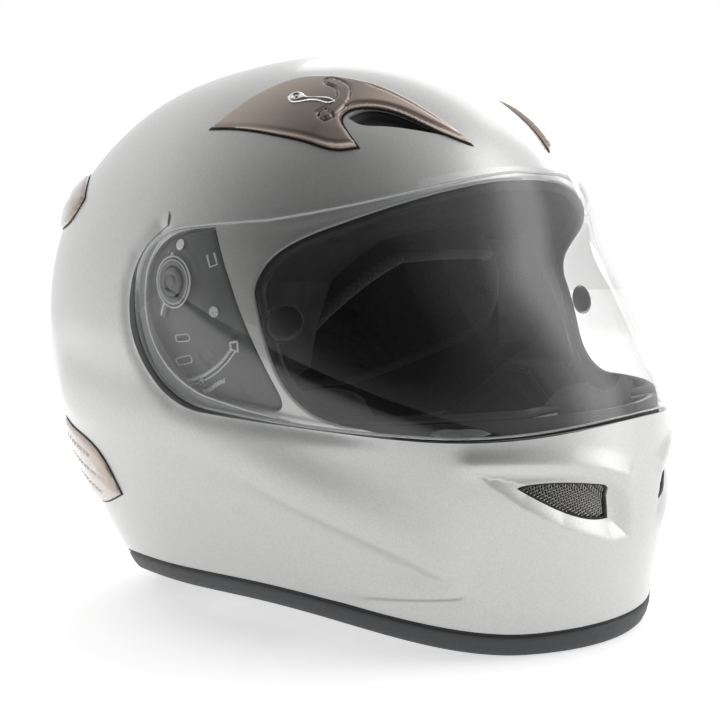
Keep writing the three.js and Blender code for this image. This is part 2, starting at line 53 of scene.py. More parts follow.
# The plain shell's outline: distance out from the axis, and height.
FRONT_LINE = [
    (152, -15), (163, 0), (167, 19), (175, 55), (174.5, 87),
    (172, 111), (156, 149), (136, 183), (114, 218), (71, 253),
]
REAR_LINE = [
    (107, -15), (115, 2), (137, 41), (156, 79), (169, 125),
    (168.5, 165), (151, 207), (113, 242), (64, 262),
]
SIDE_LINE = [
    (84, -15), (95, 10), (107, 33), (120, 70), (129, 114),
    (128, 150), (120.5, 187), (104, 218), (79, 245), (43, 262),
]
SHELL_WALL = 4.5
RIM_RISE = 19.0  # how much higher the rim is at the sides than at the front and rear
RIM_FLAT = 0.3  # share of the way round to the side at which it starts to rise
TRIM_HEIGHT = 10.0

# The visor's outer surface turns about the pivots: its half width, and its reach ahead of them.
PIVOT_Y, PIVOT_Z = -20.0, 160.0
HALF_WIDTH = 128.0
REACH = 114.0
REACH_RISE = 77.5  # how much further it reaches low down than high up
RISE_FROM = 10.0  # degrees above level at which the reach starts to grow
RISE_SPAN = 57.0
ROUNDNESS = 1.9  # 2 is an ellipse
VISOR_WALL = 2.2

# Depths under the visor's outer surface.
FLOOR_DEPTH = 4.6
PLATE_TOP = 5.6
POCKET_DEPTH = 8.9

# The room for the head, an ellipsoid: its middle and its half sizes.
HEAD = np.array([0.0, 16.0, 120.0])
FOAM_INNER = np.array([88.0, 114.0, 106.0])

RIGHT, LEFT = -1, 1  # the sign of x on each side of the rider
MIRRORED = np.array([-1, 1, 1])
CUT_REACH = 170.0  # half the depth of a cutting prism, past both sides of the helmet
HUB = np.array([PIVOT_Y, PIVOT_Z])
TAB_ANGLE = -52  # degrees, where the lock ring's tab points
PIN_PLACE = (-75.4, 141.5)
PIN_RADIUS = 6.9


def smooth(t):
    """From 0 to 1 without corners while t goes from 0 to 1."""
    c = np.clip(t, 0.0, 1.0)
    return c * c * (3 - 2 * c)


class Spline:
    """Natural cubic spline through points, level outside its ends."""

    def __init__(self, knots, values):
        self.x = np.array(knots, float)
        self.y = np.array(values, float)
        n = len(self.x)
        h = np.diff(self.x)
        a = np.zeros((n, n))
        b = np.zeros(n)
        a[0, 0] = a[-1, -1] = 1.0
        for i in range(1, n - 1):
            a[i, i - 1], a[i, i], a[i, i + 1] = h[i - 1], 2 * (h[i - 1] + h[i]), h[i]
            b[i] = 6 * ((self.y[i + 1] - self.y[i]) / h[i] - (self.y[i] - self.y[i - 1]) / h[i - 1])
        self.bend = np.linalg.solve(a, b)

    def __call__(self, t):
        x = np.clip(t, self.x[0], self.x[-1])
        i = np.clip(np.searchsorted(self.x, x) - 1, 0, len(self.x) - 2)
        h = self.x[i + 1] - self.x[i]
        a = (self.x[i + 1] - x) / h
        b = (x - self.x[i]) / h
        curve = ((a**3 - a) * self.bend[i] + (b**3 - b) * self.bend[i + 1]) * h * h / 6
        return a * self.y[i] + b * self.y[i + 1] + curve


def radius_curve(line):
    points = [(math.atan2(z - CORE[2], out), math.hypot(z - CORE[2], out)) for out, z in line]
    beyond = [(math.pi - angle, r) for angle, r in reversed(points[-2:])]
    points += [(math.pi / 2, CROWN_Z - CORE[2])] + beyond
    return Spline([p[0] for p in points], [p[1] for p in points])


FRONT_RADIUS = radius_curve(FRONT_LINE)
REAR_RADIUS = radius_curve(REAR_LINE)
SIDE_RADIUS = radius_curve(SIDE_LINE)


def shell_radius(direction):
    """Distance from the core to the plain shell surface, for unit directions."""
    level = np.maximum(np.hypot(direction[:, 0], direction[:, 1]), 1e-12)
    angle = np.arctan2(direction[:, 2], level)
    across = direction[:, 0] / level
    along = direction[:, 1] / level
    end = np.where(along < 0, FRONT_RADIUS(angle), REAR_RADIUS(angle))
    return 1 / np.hypot(across / SIDE_RADIUS(angle), along / end)


def shell_field(points):
    """Roughly the height in mm above the plain shell surface."""
    away = points - CORE
    far = np.linalg.norm(away, axis=1)
    return far - shell_radius(away / far[:, None])


def wing_reach(angle, behind_at):
    """How far the visor's surface is from the pivots at an angle above level, in degrees."""
    forward = smooth((RISE_FROM - angle) / RISE_SPAN)
    behind = smooth((angle + behind_at) / 80)
    return REACH + REACH_RISE * np.minimum(forward, behind)


def wing_field(points, depth=0.0, floor=False):
    """Roughly the height in mm above the visor's outer surface lowered by a depth."""
    ahead = -(points[:, 1] - PIVOT_Y)
    up = points[:, 2] - PIVOT_Z
    reach = wing_reach(np.degrees(np.arctan2(up, ahead)), 122 if floor else 180) - depth
    width = HALF_WIDTH - depth
    size = (np.abs(points[:, 0]) / width) ** ROUNDNESS + (np.hypot(ahead, up) / reach) ** ROUNDNESS
    return (size ** (1 / ROUNDNESS) - 1) * np.minimum(width, reach)


def rim_height(x, y):
    """Height of the shell's lower edge above its lowest point."""
    sideways = np.abs(x) / np.maximum(np.hypot(x, y), 1e-9)
    return RIM_RISE * smooth((sideways - RIM_FLAT) / (1 - RIM_FLAT))


def unit(rows):
    """Rows of vectors, each made one long."""
    return rows / np.maximum(np.linalg.norm(rows, axis=1), 1e-12)[:, None]


def full_turn(count):
    """Angles spaced evenly round a circle."""
    return np.linspace(0, 2 * math.pi, count, endpoint=False)


def circle(centre, radius, count):
    """Flat points round a circle."""
    turn = full_turn(count)
    return np.array(centre) + radius * np.stack([np.cos(turn), np.sin(turn)], axis=1)


def gradient(field, points, step=0.05):
    """Unit outward normals of a field at points."""
    out = np.empty_like(points)
    for axis in range(3):
        shift = np.zeros(3)
        shift[axis] = step
        out[:, axis] = field(points + shift) - field(points - shift)
    return unit(out)


# ------------------------------------------------------------------ relief of the shell


def polyline(points, count=60):
    """Points spaced evenly along a smooth curve through the given points."""
    points = np.array(points, float)
    steps = np.r_[0, np.cumsum(np.linalg.norm(np.diff(points, axis=0), axis=1))]
    t = np.linspace(0, steps[-1], count)
    return np.stack([Spline(steps, points[:, i])(t) for i in range(points.shape[1])], axis=1)


def along_path(points, path, up):
    """Share of the way along a path, and the distance in the surface above it, negative below."""
    gap = points[:, None, :] - path[None, :, :]
    square = (gap**2).sum(axis=2)
    i = np.clip(square.argmin(axis=1), 0, len(path) - 2)
    behind = ((points - path[i]) * (path[i + 1] - path[i])).sum(axis=1) < 0
    a = np.where(behind, np.maximum(i - 1, 0), i)
    tangent = path[a + 1] - path[a]
    length = np.linalg.norm(tangent, axis=1)
    offset = points - path[a]
    share = np.clip((offset * tangent).sum(axis=1) / length**2, -0.5, 1.5)
    foot = path[a] + tangent * np.clip(share, 0, 1)[:, None]
    distance = ((points - foot) * up(points, tangent)).sum(axis=1)
    return np.clip((a + share) / (len(path) - 1), 0, 1), distance


def upwards(points, tangent):
    """The direction in the surface, across a tangent, that points up."""
    across = unit(np.cross(points - CORE, tangent))
    return across * np.where(across[:, 2] < 0, -1, 1)[:, None]


CREST = polyline([
    (-106, 104, 116), (-116, 72, 105), (-126, 26, 98), (-126, -9, 92), (-119, -46, 82),
    (-108, -77, 68), (-97, -99, 57), (-84, -118, 45), (-68, -132, 32.5),
])
UNDERCUT = polyline([(-97, -70, 30), (-92, -87, 31.6), (-84, -106, 32), (-68, -132, 32)])

# Chin intake in the front view [x, z], on the rider's right: apex, brow, inner side, lower edge.
INTAKE = np.array([
    (-77, 81.5), (-60, 80), (-42, 78.5), (-27, 75), (-16, 70.5),
    (-11, 60), (-9, 45), (-21, 45), (-46, 55), (-61, 65.5),
], float)

# The recess's lower and rear edge in the side view, which the shell dips towards.
REAR_ARC = np.array([
    (-120, 94), (-36, 104.7), (-20, 109), (-7, 118), (3, 132), (7.1, 148), (7, 160), (2, 172), (-10, 182.5),
], float)
# The low ridge over the intake in the front view.
BROW = np.array([(-74, 84), (-60, 83.5), (-42, 82), (-27, 78.5), (-14, 74)], float)


def segment_distance(points, a, b):
    """Distance from flat points to the line between two others."""
    edge = b - a
    share = np.clip(((points - a) @ edge) / (edge @ edge), 0, 1)
    return np.linalg.norm(points - a - share[:, None] * edge, axis=1)


def line_distance(points, line):
    """Distance from flat points to an open line."""
    return np.min([segment_distance(points, a, b) for a, b in zip(line[:-1], line[1:])], axis=0)


def edge_distance(points, outline):
    """Distance to a closed outline, positive inside it."""
    nearest = np.full(len(points), 1e9)
    inside = np.zeros(len(points), bool)
    for a, b in zip(outline, np.roll(outline, -1, axis=0)):
        nearest = np.minimum(nearest, segment_distance(points, a, b))
        crosses = (a[1] > points[:, 1]) != (b[1] > points[:, 1])
        with np.errstate(divide="ignore", invalid="ignore"):
            at = a[0] + (points[:, 1] - a[1]) * (b[0] - a[0]) / (b[1] - a[1])
        inside ^= crosses & (points[:, 0] < at)
    return np.where(inside, nearest, -nearest)


def bell(distance, width):
    """A smooth bump, 1 at no distance and fading over a width."""
    return np.exp(-((distance / width) ** 2))


def side_crest(points):
    """The long ridge low on the shell's side, with a shallow hollow above it."""
    share, t = along_path(points, CREST, upwards)
    height = 1.9 * smooth(share / 0.12) + 1.5 * smooth((share - 0.45) / 0.3)
    height *= smooth((1 - share) / 0.06)
    bump = height * np.where(t > 0, bell(t, 15), bell(t, 9 - 4 * smooth((share - 0.4) / 0.3)))
    hollow = 1.3 * smooth(share / 0.2) * smooth((1 - share) / 0.35) * bell(t - 26, 13)
    return bump, hollow


def crest_tip(points):
    """The step at the ridge's front end, and the groove under it."""
    share, t = along_path(points, UNDERCUT, upwards)
    ledge = 2.8 * smooth(share / 0.7) * smooth((1 - share) / 0.14)
    return ledge * np.where(t > 0, bell(t, 9), bell(t, 2.8)), 0.45 * ledge * bell(t + 4.8, 2.3)


def relief(points):
    """How far the moulded shell stands off its plain surface, in mm."""
    p = points.copy()
    p[:, 0] = -np.abs(p[:, 0])
    out = np.zeros(len(p))
    near = (p[:, 2] > 5) & (p[:, 2] < 190) & (p[:, 1] < 125)
    bump, hollow = side_crest(p[near])
    wedge, groove = crest_tip(p[near])
    dip = 1.5 * bell(line_distance(p[near][:, 1:], REAR_ARC), 4.0) * smooth((p[near][:, 1] + 118) / 30)
    out[near] += np.maximum(bump, wedge) - hollow - groove - dip
    chin = (p[:, 1] < -100) & (p[:, 2] > 35) & (p[:, 2] < 95)
    flat = p[chin][:, [0, 2]]
    out[chin] += 1.5 * bell(line_distance(flat, BROW), 4.2) - 4.2 * smooth(edge_distance(flat, INTAKE) / 9.0)
    return out


def moulded_field(points):
    """Roughly the height in mm above the shell with its relief."""
    away = points - CORE
    far = np.linalg.norm(away, axis=1)
    direction = away / far[:, None]
    radius = shell_radius(direction)
    return far - radius - relief(CORE + direction * radius[:, None])


# ------------------------------------------------------------------ outlines


def bezier(controls, steps):
    """Points along a Bezier curve, without its first."""
    t = np.linspace(0, 1, steps + 1)[1:, None]
    order = len(controls) - 1
    curve = sum(
        math.comb(order, i) * (1 - t) ** (order - i) * t**i * np.array(control, float)
        for i, control in enumerate(controls)
    )
    return [tuple(v) for v in curve]


def drawn(start, *runs):
    """Points from a start along runs of 1, 2 or 3 points: a straight line, a quadratic or a cubic curve.
    A whole number that ends a run is its count of steps."""
    points = [start]
    for run in runs:
        controls = [p for p in run if isinstance(p, tuple)]
        steps = run[-1] if isinstance(run[-1], int) else (1, 10, 18)[len(controls) - 1]
        points += bezier([points[-1], *controls], steps)
    return points


def visor_outline():
    return drawn(
        (-30, 183), [(-66, 183.6)], [(-104, 187.6), (-125, 202.6)], [(-210, 250)], [(-210, 112)],
        [(-171, 97.5)], [(-152, 91), (-118, 96)], [(-36, 106)], [(-14, 108), (4, 126), (6, 148)],
        [(8, 168), (-8, 182.5), (-30, 183)],
    )[:-1]


def recess_outline():
    return drawn(
        (-19, 214), [(-46, 290)], [(-210, 290)], [(-210, 110)], [(-172, 96)],
        [(-152, 89.4), (-118, 94.4)], [(-36, 104.7)], [(-13, 106.7), (5.0, 125.3), (7.1, 148)],
        [(9.0, 167), (-2, 180), (-14, 184.4)], [(-13, 200)],
    )


def port_outline():
    return drawn(
        (-210, 232), [(-120, 197.5)], [(-100, 186), (-84, 179), 6], [(-68, 172), (-61, 165), (-61.5, 154)],
        [(-70, 125)], [(-74, 112), (-84, 101), (-100, 100)], [(-210, 100)],
    )


def plate_outline():
    return drawn(
        (-40, 181.4), [(-70, 114)], [(-73, 107), (-69, 105.6), (-64, 106.6), 8], [(-36, 110)],
        [(-16, 112), (0.5, 128), (2.5, 148)], [(4.5, 165), (-10, 180.4), (-30, 181.2)],
    )


def grille_outline():
    return drawn(
        (-60, 73), [(-50, 76), (-26, 71)], [(-22.5, 70), (-22, 67), 4], [(-20.5, 56)],
        [(-38, 55), (-60, 73)],
    )[:-1]


def through(*runs):
    """A closed outline of smooth curves, each through its points; neighbours share their ends."""
    points = []
    for run in runs:
        points += [tuple(v) for v in polyline(run, 8 * len(run))[:-1]]
    return points


def fin_outline():
    upper = [
        (-47, -8), (-35.5, 3.3), (-24, 11.5), (-11, 17.3), (1, 18),
        (20, 14.5), (33, 9.5), (44, 3.8), (66, -7),
    ]
    return through(
        upper,
        [(66, -7), (51, -6.5), (34, -2), (19, -2.6), (12.8, -6.5), (11.2, -11), (13.5, -17), (20, -26)],
        [(20, -26), (12, -28), (-1, -24.5), (-13, -20.5), (-29, -14.5), (-47, -8)],
    )


def mouth_outline():
    return through(
        [(55, -8), (43, -4.6), (31, -1.8), (20, -3.2), (13.5, -9.5)],
        [(13.5, -9.5), (19, -13), (28, -12.4), (41, -10.4), (55, -8)],
    )


def shifted(points, distance):
    """A closed outline moved outwards by a distance."""
    p = np.array(points, float)
    before = unit(p - np.roll(p, 1, axis=0))
    after = unit(np.roll(p, -1, axis=0) - p)
    middle = unit(before + after)
    area = (p[:, 0] * np.roll(p[:, 1], -1) - p[:, 1] * np.roll(p[:, 0], -1)).sum()
    normal = np.stack([middle[:, 1], -middle[:, 0]], axis=1) * np.sign(area)
    stretch = 1 / np.maximum(np.sqrt((1 + (before * after).sum(axis=1)) / 2), 0.6)
    return [tuple(v) for v in p + normal * (distance * stretch)[:, None]]


def dense(points, step, closed=True):
    """The same line with points no further apart than a step."""
    p = [np.array(v, float) for v in points]
    ends = p[1:] + ([p[0]] if closed else [])
    out = []
    for a, b in zip(p, ends):
        count = max(1, math.ceil(np.linalg.norm(b - a) / step))
        out += [a + (b - a) * i / count for i in range(count)]
    if not closed:
        out.append(p[-1])
    return np.array(out)


# A view turns 2-D outline points into 3-D points, and names the direction that looks at them.


def side_view(points, x=0.0):
    p = np.atleast_2d(points)
    return np.stack([np.full(len(p), x), p[:, 0], p[:, 1]], axis=1)


def front_view(points, y=0.0):
    p = np.atleast_2d(points)
    return np.stack([p[:, 0], np.full(len(p), y), p[:, 1]], axis=1)


FIN_U = np.array([0.566, -0.817, -0.108])
FIN_V = np.array([0.646, 0.358, 0.674])
FIN_N = np.cross(FIN_U, FIN_V)
FIN_N /= np.linalg.norm(FIN_N)
FIN_V = np.cross(FIN_N, FIN_U)
FIN_ORIGIN = np.array([-68.0, -57.4, 232.0])


def fin_view(points, n=0.0):
    p = np.atleast_2d(points)
    return FIN_ORIGIN + p[:, :1] * FIN_U + p[:, 1:2] * FIN_V + n * FIN_N


def land(points, direction, field, reach=60.0):
    """Moves points against a direction until they lie on a field's zero surface."""
    high = np.full(len(points), reach)
    low = np.full(len(points), -reach)
    for _ in range(30):
        middle = (high + low) / 2
        outside = field(points + middle[:, None] * direction) > 0
        high = np.where(outside, middle, high)
        low = np.where(outside, low, middle)
    return points + high[:, None] * direction


class View:
    """A way of looking at the rider's right side of the helmet, for placing flat outlines on it."""

    def __init__(self, lift, direction, reach):
        self.lift = lift
        self.direction = np.array(direction, float)
        self.reach = reach

    def on(self, points, field):
        """Outline points laid on a surface."""
        return land(self.lift(points), self.direction, field, self.reach)


SIDE = View(lambda p: side_view(p, -90.0), (-1, 0, 0), 60.0)
FRONT = View(lambda p: front_view(p, -140.0), (0, -1, 0), 60.0)
FIN = View(fin_view, FIN_N, 25.0)


# ------------------------------------------------------------------ mesh helpers


def added(name, data):
    """A new object in the scene."""
    obj = bpy.data.objects.new(name, data)
    bpy.context.scene.collection.objects.link(obj)
    return obj


def column(items, name, width=3, kind=float):
    """One property of all the items of a mesh, as an array."""
    flat = np.empty(len(items) * width, kind)
    items.foreach_get(name, flat)
    return flat.reshape(-1, width) if width > 1 else flat


def tube_faces(rows, across, closed=False):
    """Faces between rows of points that are closed rings; closed also joins the last row to the first."""
    faces = []
    for i in range(rows if closed else rows - 1):
        n = (i + 1) % rows
        for j in range(across):
            k = (j + 1) % across
            faces.append((i * across + j, i * across + k, n * across + k, n * across + j))
    return faces


def flat_ends(rows, across):
    """Faces that close the first and the last of rows of points."""
    return [tuple(range(across)), tuple(range((rows - 1) * across, rows * across))]


def pointed_ends(rows, across):
    """Faces from the first and the last row to the two points that follow all rows."""
    faces = []
    for point, first in ((rows * across, 0), (rows * across + 1, (rows - 1) * across)):
        faces += [(point, first + j, first + (j + 1) % across) for j in range(across)]
    return faces


def make(name, points, faces, smooth_angle=35.0):
    """A mesh object from points in millimetres."""
    mesh = bpy.data.meshes.new(name)
    mesh.from_pydata((np.asarray(points) * MM).tolist(), [], [tuple(int(i) for i in f) for f in faces])
    mesh.validate()
    mesh.update()
    obj = added(name, mesh)
    bm = bmesh.new()
    bm.from_mesh(mesh)
    bmesh.ops.recalc_face_normals(bm, faces=bm.faces)
    if bm.calc_volume(signed=True) < 0:
        bmesh.ops.reverse_faces(bm, faces=bm.faces)
    bm.to_mesh(mesh)
    bm.free()
    shade(obj, smooth_angle)
    return obj


def shade(obj, angle=35.0):
    mesh = obj.data
    mesh.shade_smooth()
    mesh.set_sharp_from_angle(angle=math.radians(angle))


def closed_grid(across, around, tilt=0.0):
    """Unit directions and faces of a round grid with its poles near the third axis."""
    polar = np.linspace(0, math.pi, around + 1)[1:-1]
    p, t = np.meshgrid(polar, full_turn(across), indexing="ij")
    ring = np.stack([np.sin(p) * np.cos(t), np.sin(p) * np.sin(t), np.cos(p)], axis=2).reshape(-1, 3)
    points = unit(np.vstack([ring, [[tilt, tilt / 2, 1], [tilt, -tilt / 2, -1]]]))
    return points, tube_faces(around - 1, across) + pointed_ends(around - 1, across)


def shell_body(name, offset, across, around, moulded=False):
    directions, faces = closed_grid(across, around, 0.003 if moulded else -0.005)
    radius = shell_radius(directions)
    if moulded:
        radius = radius + relief(CORE + directions * radius[:, None])
    return make(name, CORE + directions * (radius + offset)[:, None], faces)


def wing_body(name, depth, floor=False, across=180, around=110, fade=None):
    directions, faces = closed_grid(across, around)
    angle = np.arctan2(directions[:, 1], directions[:, 0])
    degrees = np.degrees(angle)
    power = 2 / ROUNDNESS
    level = np.hypot(directions[:, 0], directions[:, 1])
    reach = wing_reach(degrees, 122 if floor else 180)

    def lowered_by(amount):
        ring = (reach - amount) * level**power
        x = np.sign(directions[:, 2]) * (HALF_WIDTH - amount) * np.abs(directions[:, 2]) ** power
        return np.stack([x, PIVOT_Y - ring * np.cos(angle), PIVOT_Z + ring * np.sin(angle)], axis=1)

    points = lowered_by(np.full(len(directions), float(depth)))
    if fade:
        share = fade(degrees, (reach - depth) * level**power)
        points = lowered_by(depth - share * (0.3 - shell_field(points)))
    return make(name, points, faces)


def prism(name, outline, lift, low=-CUT_REACH, high=CUT_REACH):
    """A closed prism between two depths; lift turns flat points and a depth into 3-D points."""
    count = len(outline)
    flat = np.array(outline, float)
    points = np.vstack([lift(flat, low), lift(flat, high)])
    obj = make(name, points, flat_ends(2, count) + tube_faces(2, count))
    bm = bmesh.new()
    bm.from_mesh(obj.data)
    bmesh.ops.triangulate(bm, faces=[f for f in bm.faces if len(f.verts) > 4])
    bm.to_mesh(obj.data)
    bm.free()
    return obj


def settle(obj):
    """Applies an object's modifiers to its mesh."""
    evaluated = obj.evaluated_get(bpy.context.evaluated_depsgraph_get())
    mesh = bpy.data.meshes.new_from_object(evaluated)
    old = obj.data
    obj.modifiers.clear()
    obj.data = mesh
    bpy.data.meshes.remove(old)
    return obj


def drop(obj):
    mesh = obj.data
    bpy.data.objects.remove(obj)
    bpy.data.meshes.remove(mesh)


def combine(obj, other, operation, keep=False):
    """Joins, cuts or intersects two closed meshes."""
    modifier = obj.modifiers.new("combine", "BOOLEAN")
    modifier.operation = operation
    modifier.solver = "MANIFOLD"
    modifier.object = other
    settle(obj)
    if not keep:
        drop(other)
    return obj


def below_rim(name, height, across=180):
    """Everything below the rim's curve raised by a height."""
    turn = full_turn(across)
    rings = []
    for radius in (45, 320):
        x, y = radius * np.cos(turn), radius * np.sin(turn)
        rings.append(np.stack([x, y + AXIS_Y, height + rim_height(x, y)], axis=1))
    rings.append(rings[-1] * [1, 1, 0] + [0, 0, -90])
    ends = [[1.7, AXIS_Y + 2.9, height], [0, AXIS_Y, -90]]
    return make(name, np.vstack([*rings, ends]), tube_faces(3, across) + pointed_ends(3, across))


def polish(obj, fields, reach=0.35, agree=0.93):
    """Gives the faces that lie on known surfaces those surfaces' own normals."""
    mesh = obj.data
    shade(obj, 30.0)
    points = column(mesh.vertices, "co") / MM
    corner = column(mesh.corner_normals, "vector", kind=np.float32).astype(float)
    vertex = column(mesh.loops, "vertex_index", 1, np.int64)
    normal = column(mesh.polygons, "normal")
    centre = column(mesh.polygons, "center") / MM
    owner = np.repeat(np.arange(len(mesh.polygons)), column(mesh.polygons, "loop_total", 1, np.int64))
    free = np.ones(len(mesh.polygons), bool)
    for field in fields:
        chosen = np.where(free & (np.abs(field(centre)) < reach))[0]
        if not len(chosen):
            continue
        dot = (gradient(field, centre[chosen]) * normal[chosen]).sum(axis=1)
        matching = np.abs(dot) > agree
        chosen = chosen[matching]
        free[chosen] = False
        flip = np.zeros(len(mesh.polygons))
        flip[chosen] = np.sign(dot[matching])
        loops = np.where(flip[owner] != 0)[0]
        used, back = np.unique(vertex[loops], return_inverse=True)
        corner[loops] = gradient(field, points[used])[back] * flip[owner[loops]][:, None]
    mesh.normals_split_custom_set(corner.tolist())


def mirror(obj, name):
    """A copy on the other side of the helmet."""
    mesh = obj.data
    order = [i for polygon in mesh.polygons for i in reversed(polygon.loop_indices)]
    corners = column(mesh.loops, "vertex_index", 1, np.int64).tolist()
    faces = [[corners[i] for i in reversed(polygon.loop_indices)] for polygon in mesh.polygons]
    copy = bpy.data.meshes.new(name)
    copy.from_pydata((column(mesh.vertices, "co") * MIRRORED).tolist(), [], faces)
    copy.update()
    twin = added(name, copy)
    shade(twin)
    if mesh.has_custom_normals:
        normals = column(mesh.corner_normals, "vector", kind=np.float32) * MIRRORED
        copy.normals_split_custom_set(normals[order].tolist())
    for material in mesh.materials:
        copy.materials.append(material)
    return twin


def filled(outline, spacing, holes=()):
    """Triangles that fill an outline, with inner points at a spacing."""
    lines = [dense(outline, spacing)] + [dense(h, spacing) for h in holes]
    low, high = lines[0].min(axis=0), lines[0].max(axis=0)
    xs = np.arange(low[0] + spacing / 2, high[0], spacing)
    ys = np.arange(low[1] + spacing / 2, high[1], spacing * 0.866)
    gx, gy = np.meshgrid(xs, ys)
    gx[1::2] += spacing / 2
    inner = np.stack([gx.ravel(), gy.ravel()], axis=1)
    keep = edge_distance(inner, lines[0]) > spacing * 0.45
    for hole in lines[1:]:
        keep &= edge_distance(inner, hole) < -spacing * 0.45
    inner = inner[keep]
    points = np.vstack(lines + [inner])
    loops = []
    start = 0
    for line in lines:
        loops.append(list(range(start, start + len(line))))
        start += len(line)
    edges = [(l[i], l[(i + 1) % len(l)]) for l in loops for i in range(len(l))]
    result = delaunay_2d_cdt([Vector(p) for p in points], edges, [], 0, 1e-6)
    flat = np.array([tuple(v) for v in result[0]])
    triangles = np.array([f for f in result[2]], int)
    centres = flat[triangles].mean(axis=1)
    inside = edge_distance(centres, lines[0]) > 0
    for hole in lines[1:]:
        inside &= edge_distance(centres, hole) < 0
    return flat, triangles[inside], lines


def patch(name, outline, view, field, top, bottom, spacing=1.0, holes=(), angle=35.0):
    """A closed piece laid on a surface. top and bottom are heights, or functions of the flat points
    and their distance from the outline."""
    flat, triangles, lines = filled(outline, spacing, holes)
    distance = np.maximum(edge_distance(flat, lines[0]), 0)
    for hole in lines[1:]:
        distance = np.minimum(distance, np.maximum(-edge_distance(flat, hole), 0))
    base = view.on(flat, field)
    normal = gradient(field, base)
    layers = []
    for height in (top, bottom):
        h = height(flat, distance) if callable(height) else np.full(len(flat), float(height))
        layers.append(base + normal * h[:, None])
    count = len(flat)
    edges = dict.fromkeys(edge for a, b, c in triangles for edge in ((a, b), (b, c), (c, a)))
    faces = [tuple(t) for t in triangles]
    faces += [(a + count, c + count, b + count) for a, b, c in triangles]
    faces += [(b, a, a + count, b + count) for a, b in edges if (b, a) not in edges]
    return make(name, np.vstack(layers), faces, angle)


def bead(name, path, radius, closed=True, sides=8, flat=1.0, normals=None):
    """A round or flattened bead along a line; flat squeezes it across the surface's normal."""
    path = np.asarray(path, float)
    count = len(path)
    if closed:
        tangent = unit(np.roll(path, -1, axis=0) - np.roll(path, 1, axis=0))
    else:
        tangent = unit(np.gradient(path, axis=0))
    if normals is None:
        normals = path - CORE
    up = unit(normals - (normals * tangent).sum(axis=1)[:, None] * tangent)
    across = np.cross(tangent, up)
    turn = full_turn(sides)[None, :, None]
    ring = path[:, None] + radius * (across[:, None] * np.cos(turn) + up[:, None] * np.sin(turn) * flat)
    faces = tube_faces(count, sides, closed)
    if not closed:
        faces += flat_ends(count, sides)
    return make(name, ring.reshape(-1, 3), faces, 60.0)


def slab(name, upper, lower):
    """A closed thin piece between two grids of points."""
    deep, across = upper.shape[:2]
    count = across * deep
    quads = [(i * across + j, i * across + j + 1, (i + 1) * across + j + 1, (i + 1) * across + j)
             for i in range(deep - 1) for j in range(across - 1)]
    faces = quads + [tuple(v + count for v in reversed(q)) for q in quads]
    ring = list(range(across)) + [i * across + across - 1 for i in range(1, deep)]
    ring += [(deep - 1) * across + j for j in range(across - 2, -1, -1)]
    ring += [i * across for i in range(deep - 2, 0, -1)]
    faces += [(a, b, b + count, a + count) for a, b in zip(ring, ring[1:] + ring[:1])]
    return make(name, np.vstack([upper.reshape(-1, 3), lower.reshape(-1, 3)]), faces, 50)


def joined(name, objects):
    """Several meshes as one piece."""
    bm = bmesh.new()
    for obj in objects:
        bm.from_mesh(obj.data)
    mesh = bpy.data.meshes.new(name)
    bm.to_mesh(mesh)
    bm.free()
    for obj in objects:
        drop(obj)
    return added(name, mesh)


# ------------------------------------------------------------------ materials


def finish_of(name, color, roughness, metallic=0.0, **sockets):
    """A Principled material; returns it with its node tree and shader."""
    material = bpy.data.materials.new(name)
    material.use_nodes = True
    tree = material.node_tree
    shader = tree.nodes["Principled BSDF"]
    shader.inputs["Base Color"].default_value = (*color, 1)
    shader.inputs["Roughness"].default_value = roughness
    shader.inputs["Metallic"].default_value = metallic
    for key, value in sockets.items():
        shader.inputs[key.replace("_", " ")].default_value = value
    return material, tree, shader


def add_node(tree, kind, inputs=None, **settings):
    """A shader node; inputs gives its sockets' values, or the outputs that they are linked to."""
    node = tree.nodes.new("ShaderNode" + kind)
    for key, value in settings.items():
        setattr(node, key, value)
    for key, value in (inputs or {}).items():
        if isinstance(value, bpy.types.NodeSocket):
            tree.links.new(value, node.inputs[key])
        else:
            node.inputs[key].default_value = value
    return node


def math_node(tree, operation, first, second=None):
    inputs = {0: first} if second is None else {0: first, 1: second}
    return add_node(tree, "Math", inputs, operation=operation).outputs[0]


def object_place(tree):
    return add_node(tree, "TexCoord").outputs["Object"]


def dot_with(tree, source, direction):
    """How far a vector points along a fixed direction."""
    return add_node(tree, "VectorMath", {0: source, 1: direction}, operation="DOT_PRODUCT").outputs["Value"]


def noise(tree, scale, detail=3.0):
    """Cloudy variation fixed to the object."""
    inputs = {"Scale": scale, "Detail": detail, "Vector": object_place(tree)}
    return add_node(tree, "TexNoise", inputs).outputs["Fac"]


def ramp(tree, source, stops):
    """A colour ramp through stops, each a place with a colour or a grey value."""
    node = add_node(tree, "ValToRGB", {"Fac": source})
    elements = node.color_ramp.elements
    while len(elements) < len(stops):
        elements.new(0.5)
    for element, (position, value) in zip(elements, stops):
        element.position = position
        element.color = (*np.full(3, value, float).tolist(), 1)
    return node.outputs["Color"]


def bumped(tree, shader, height, strength, distance):
    node = add_node(tree, "Bump", {"Strength": strength, "Distance": distance, "Height": height})
    tree.links.new(node.outputs["Normal"], shader.inputs["Normal"])


def silver_paint():
    """Satin metallic paint: fine flakes under a clear coat."""
    material, tree, shader = finish_of(
        "silver_paint", (0.55, 0.55, 0.545), 0.36, 0.72, Coat_Weight=0.55, Coat_Roughness=0.12
    )
    flakes = add_node(tree, "TexVoronoi", {"Scale": 2600, "Vector": object_place(tree)})
    color = ramp(tree, flakes.outputs["Color"], [(0.0, (0.5, 0.5, 0.495)), (1.0, (0.6, 0.6, 0.595))])
    tree.links.new(color, shader.inputs["Base Color"])
    rough = ramp(tree, noise(tree, 14, 4), [(0.3, 0.33), (0.7, 0.4)])
    tree.links.new(rough, shader.inputs["Roughness"])
    bumped(tree, shader, flakes.outputs["Distance"], 0.05, 0.0002)
    return material


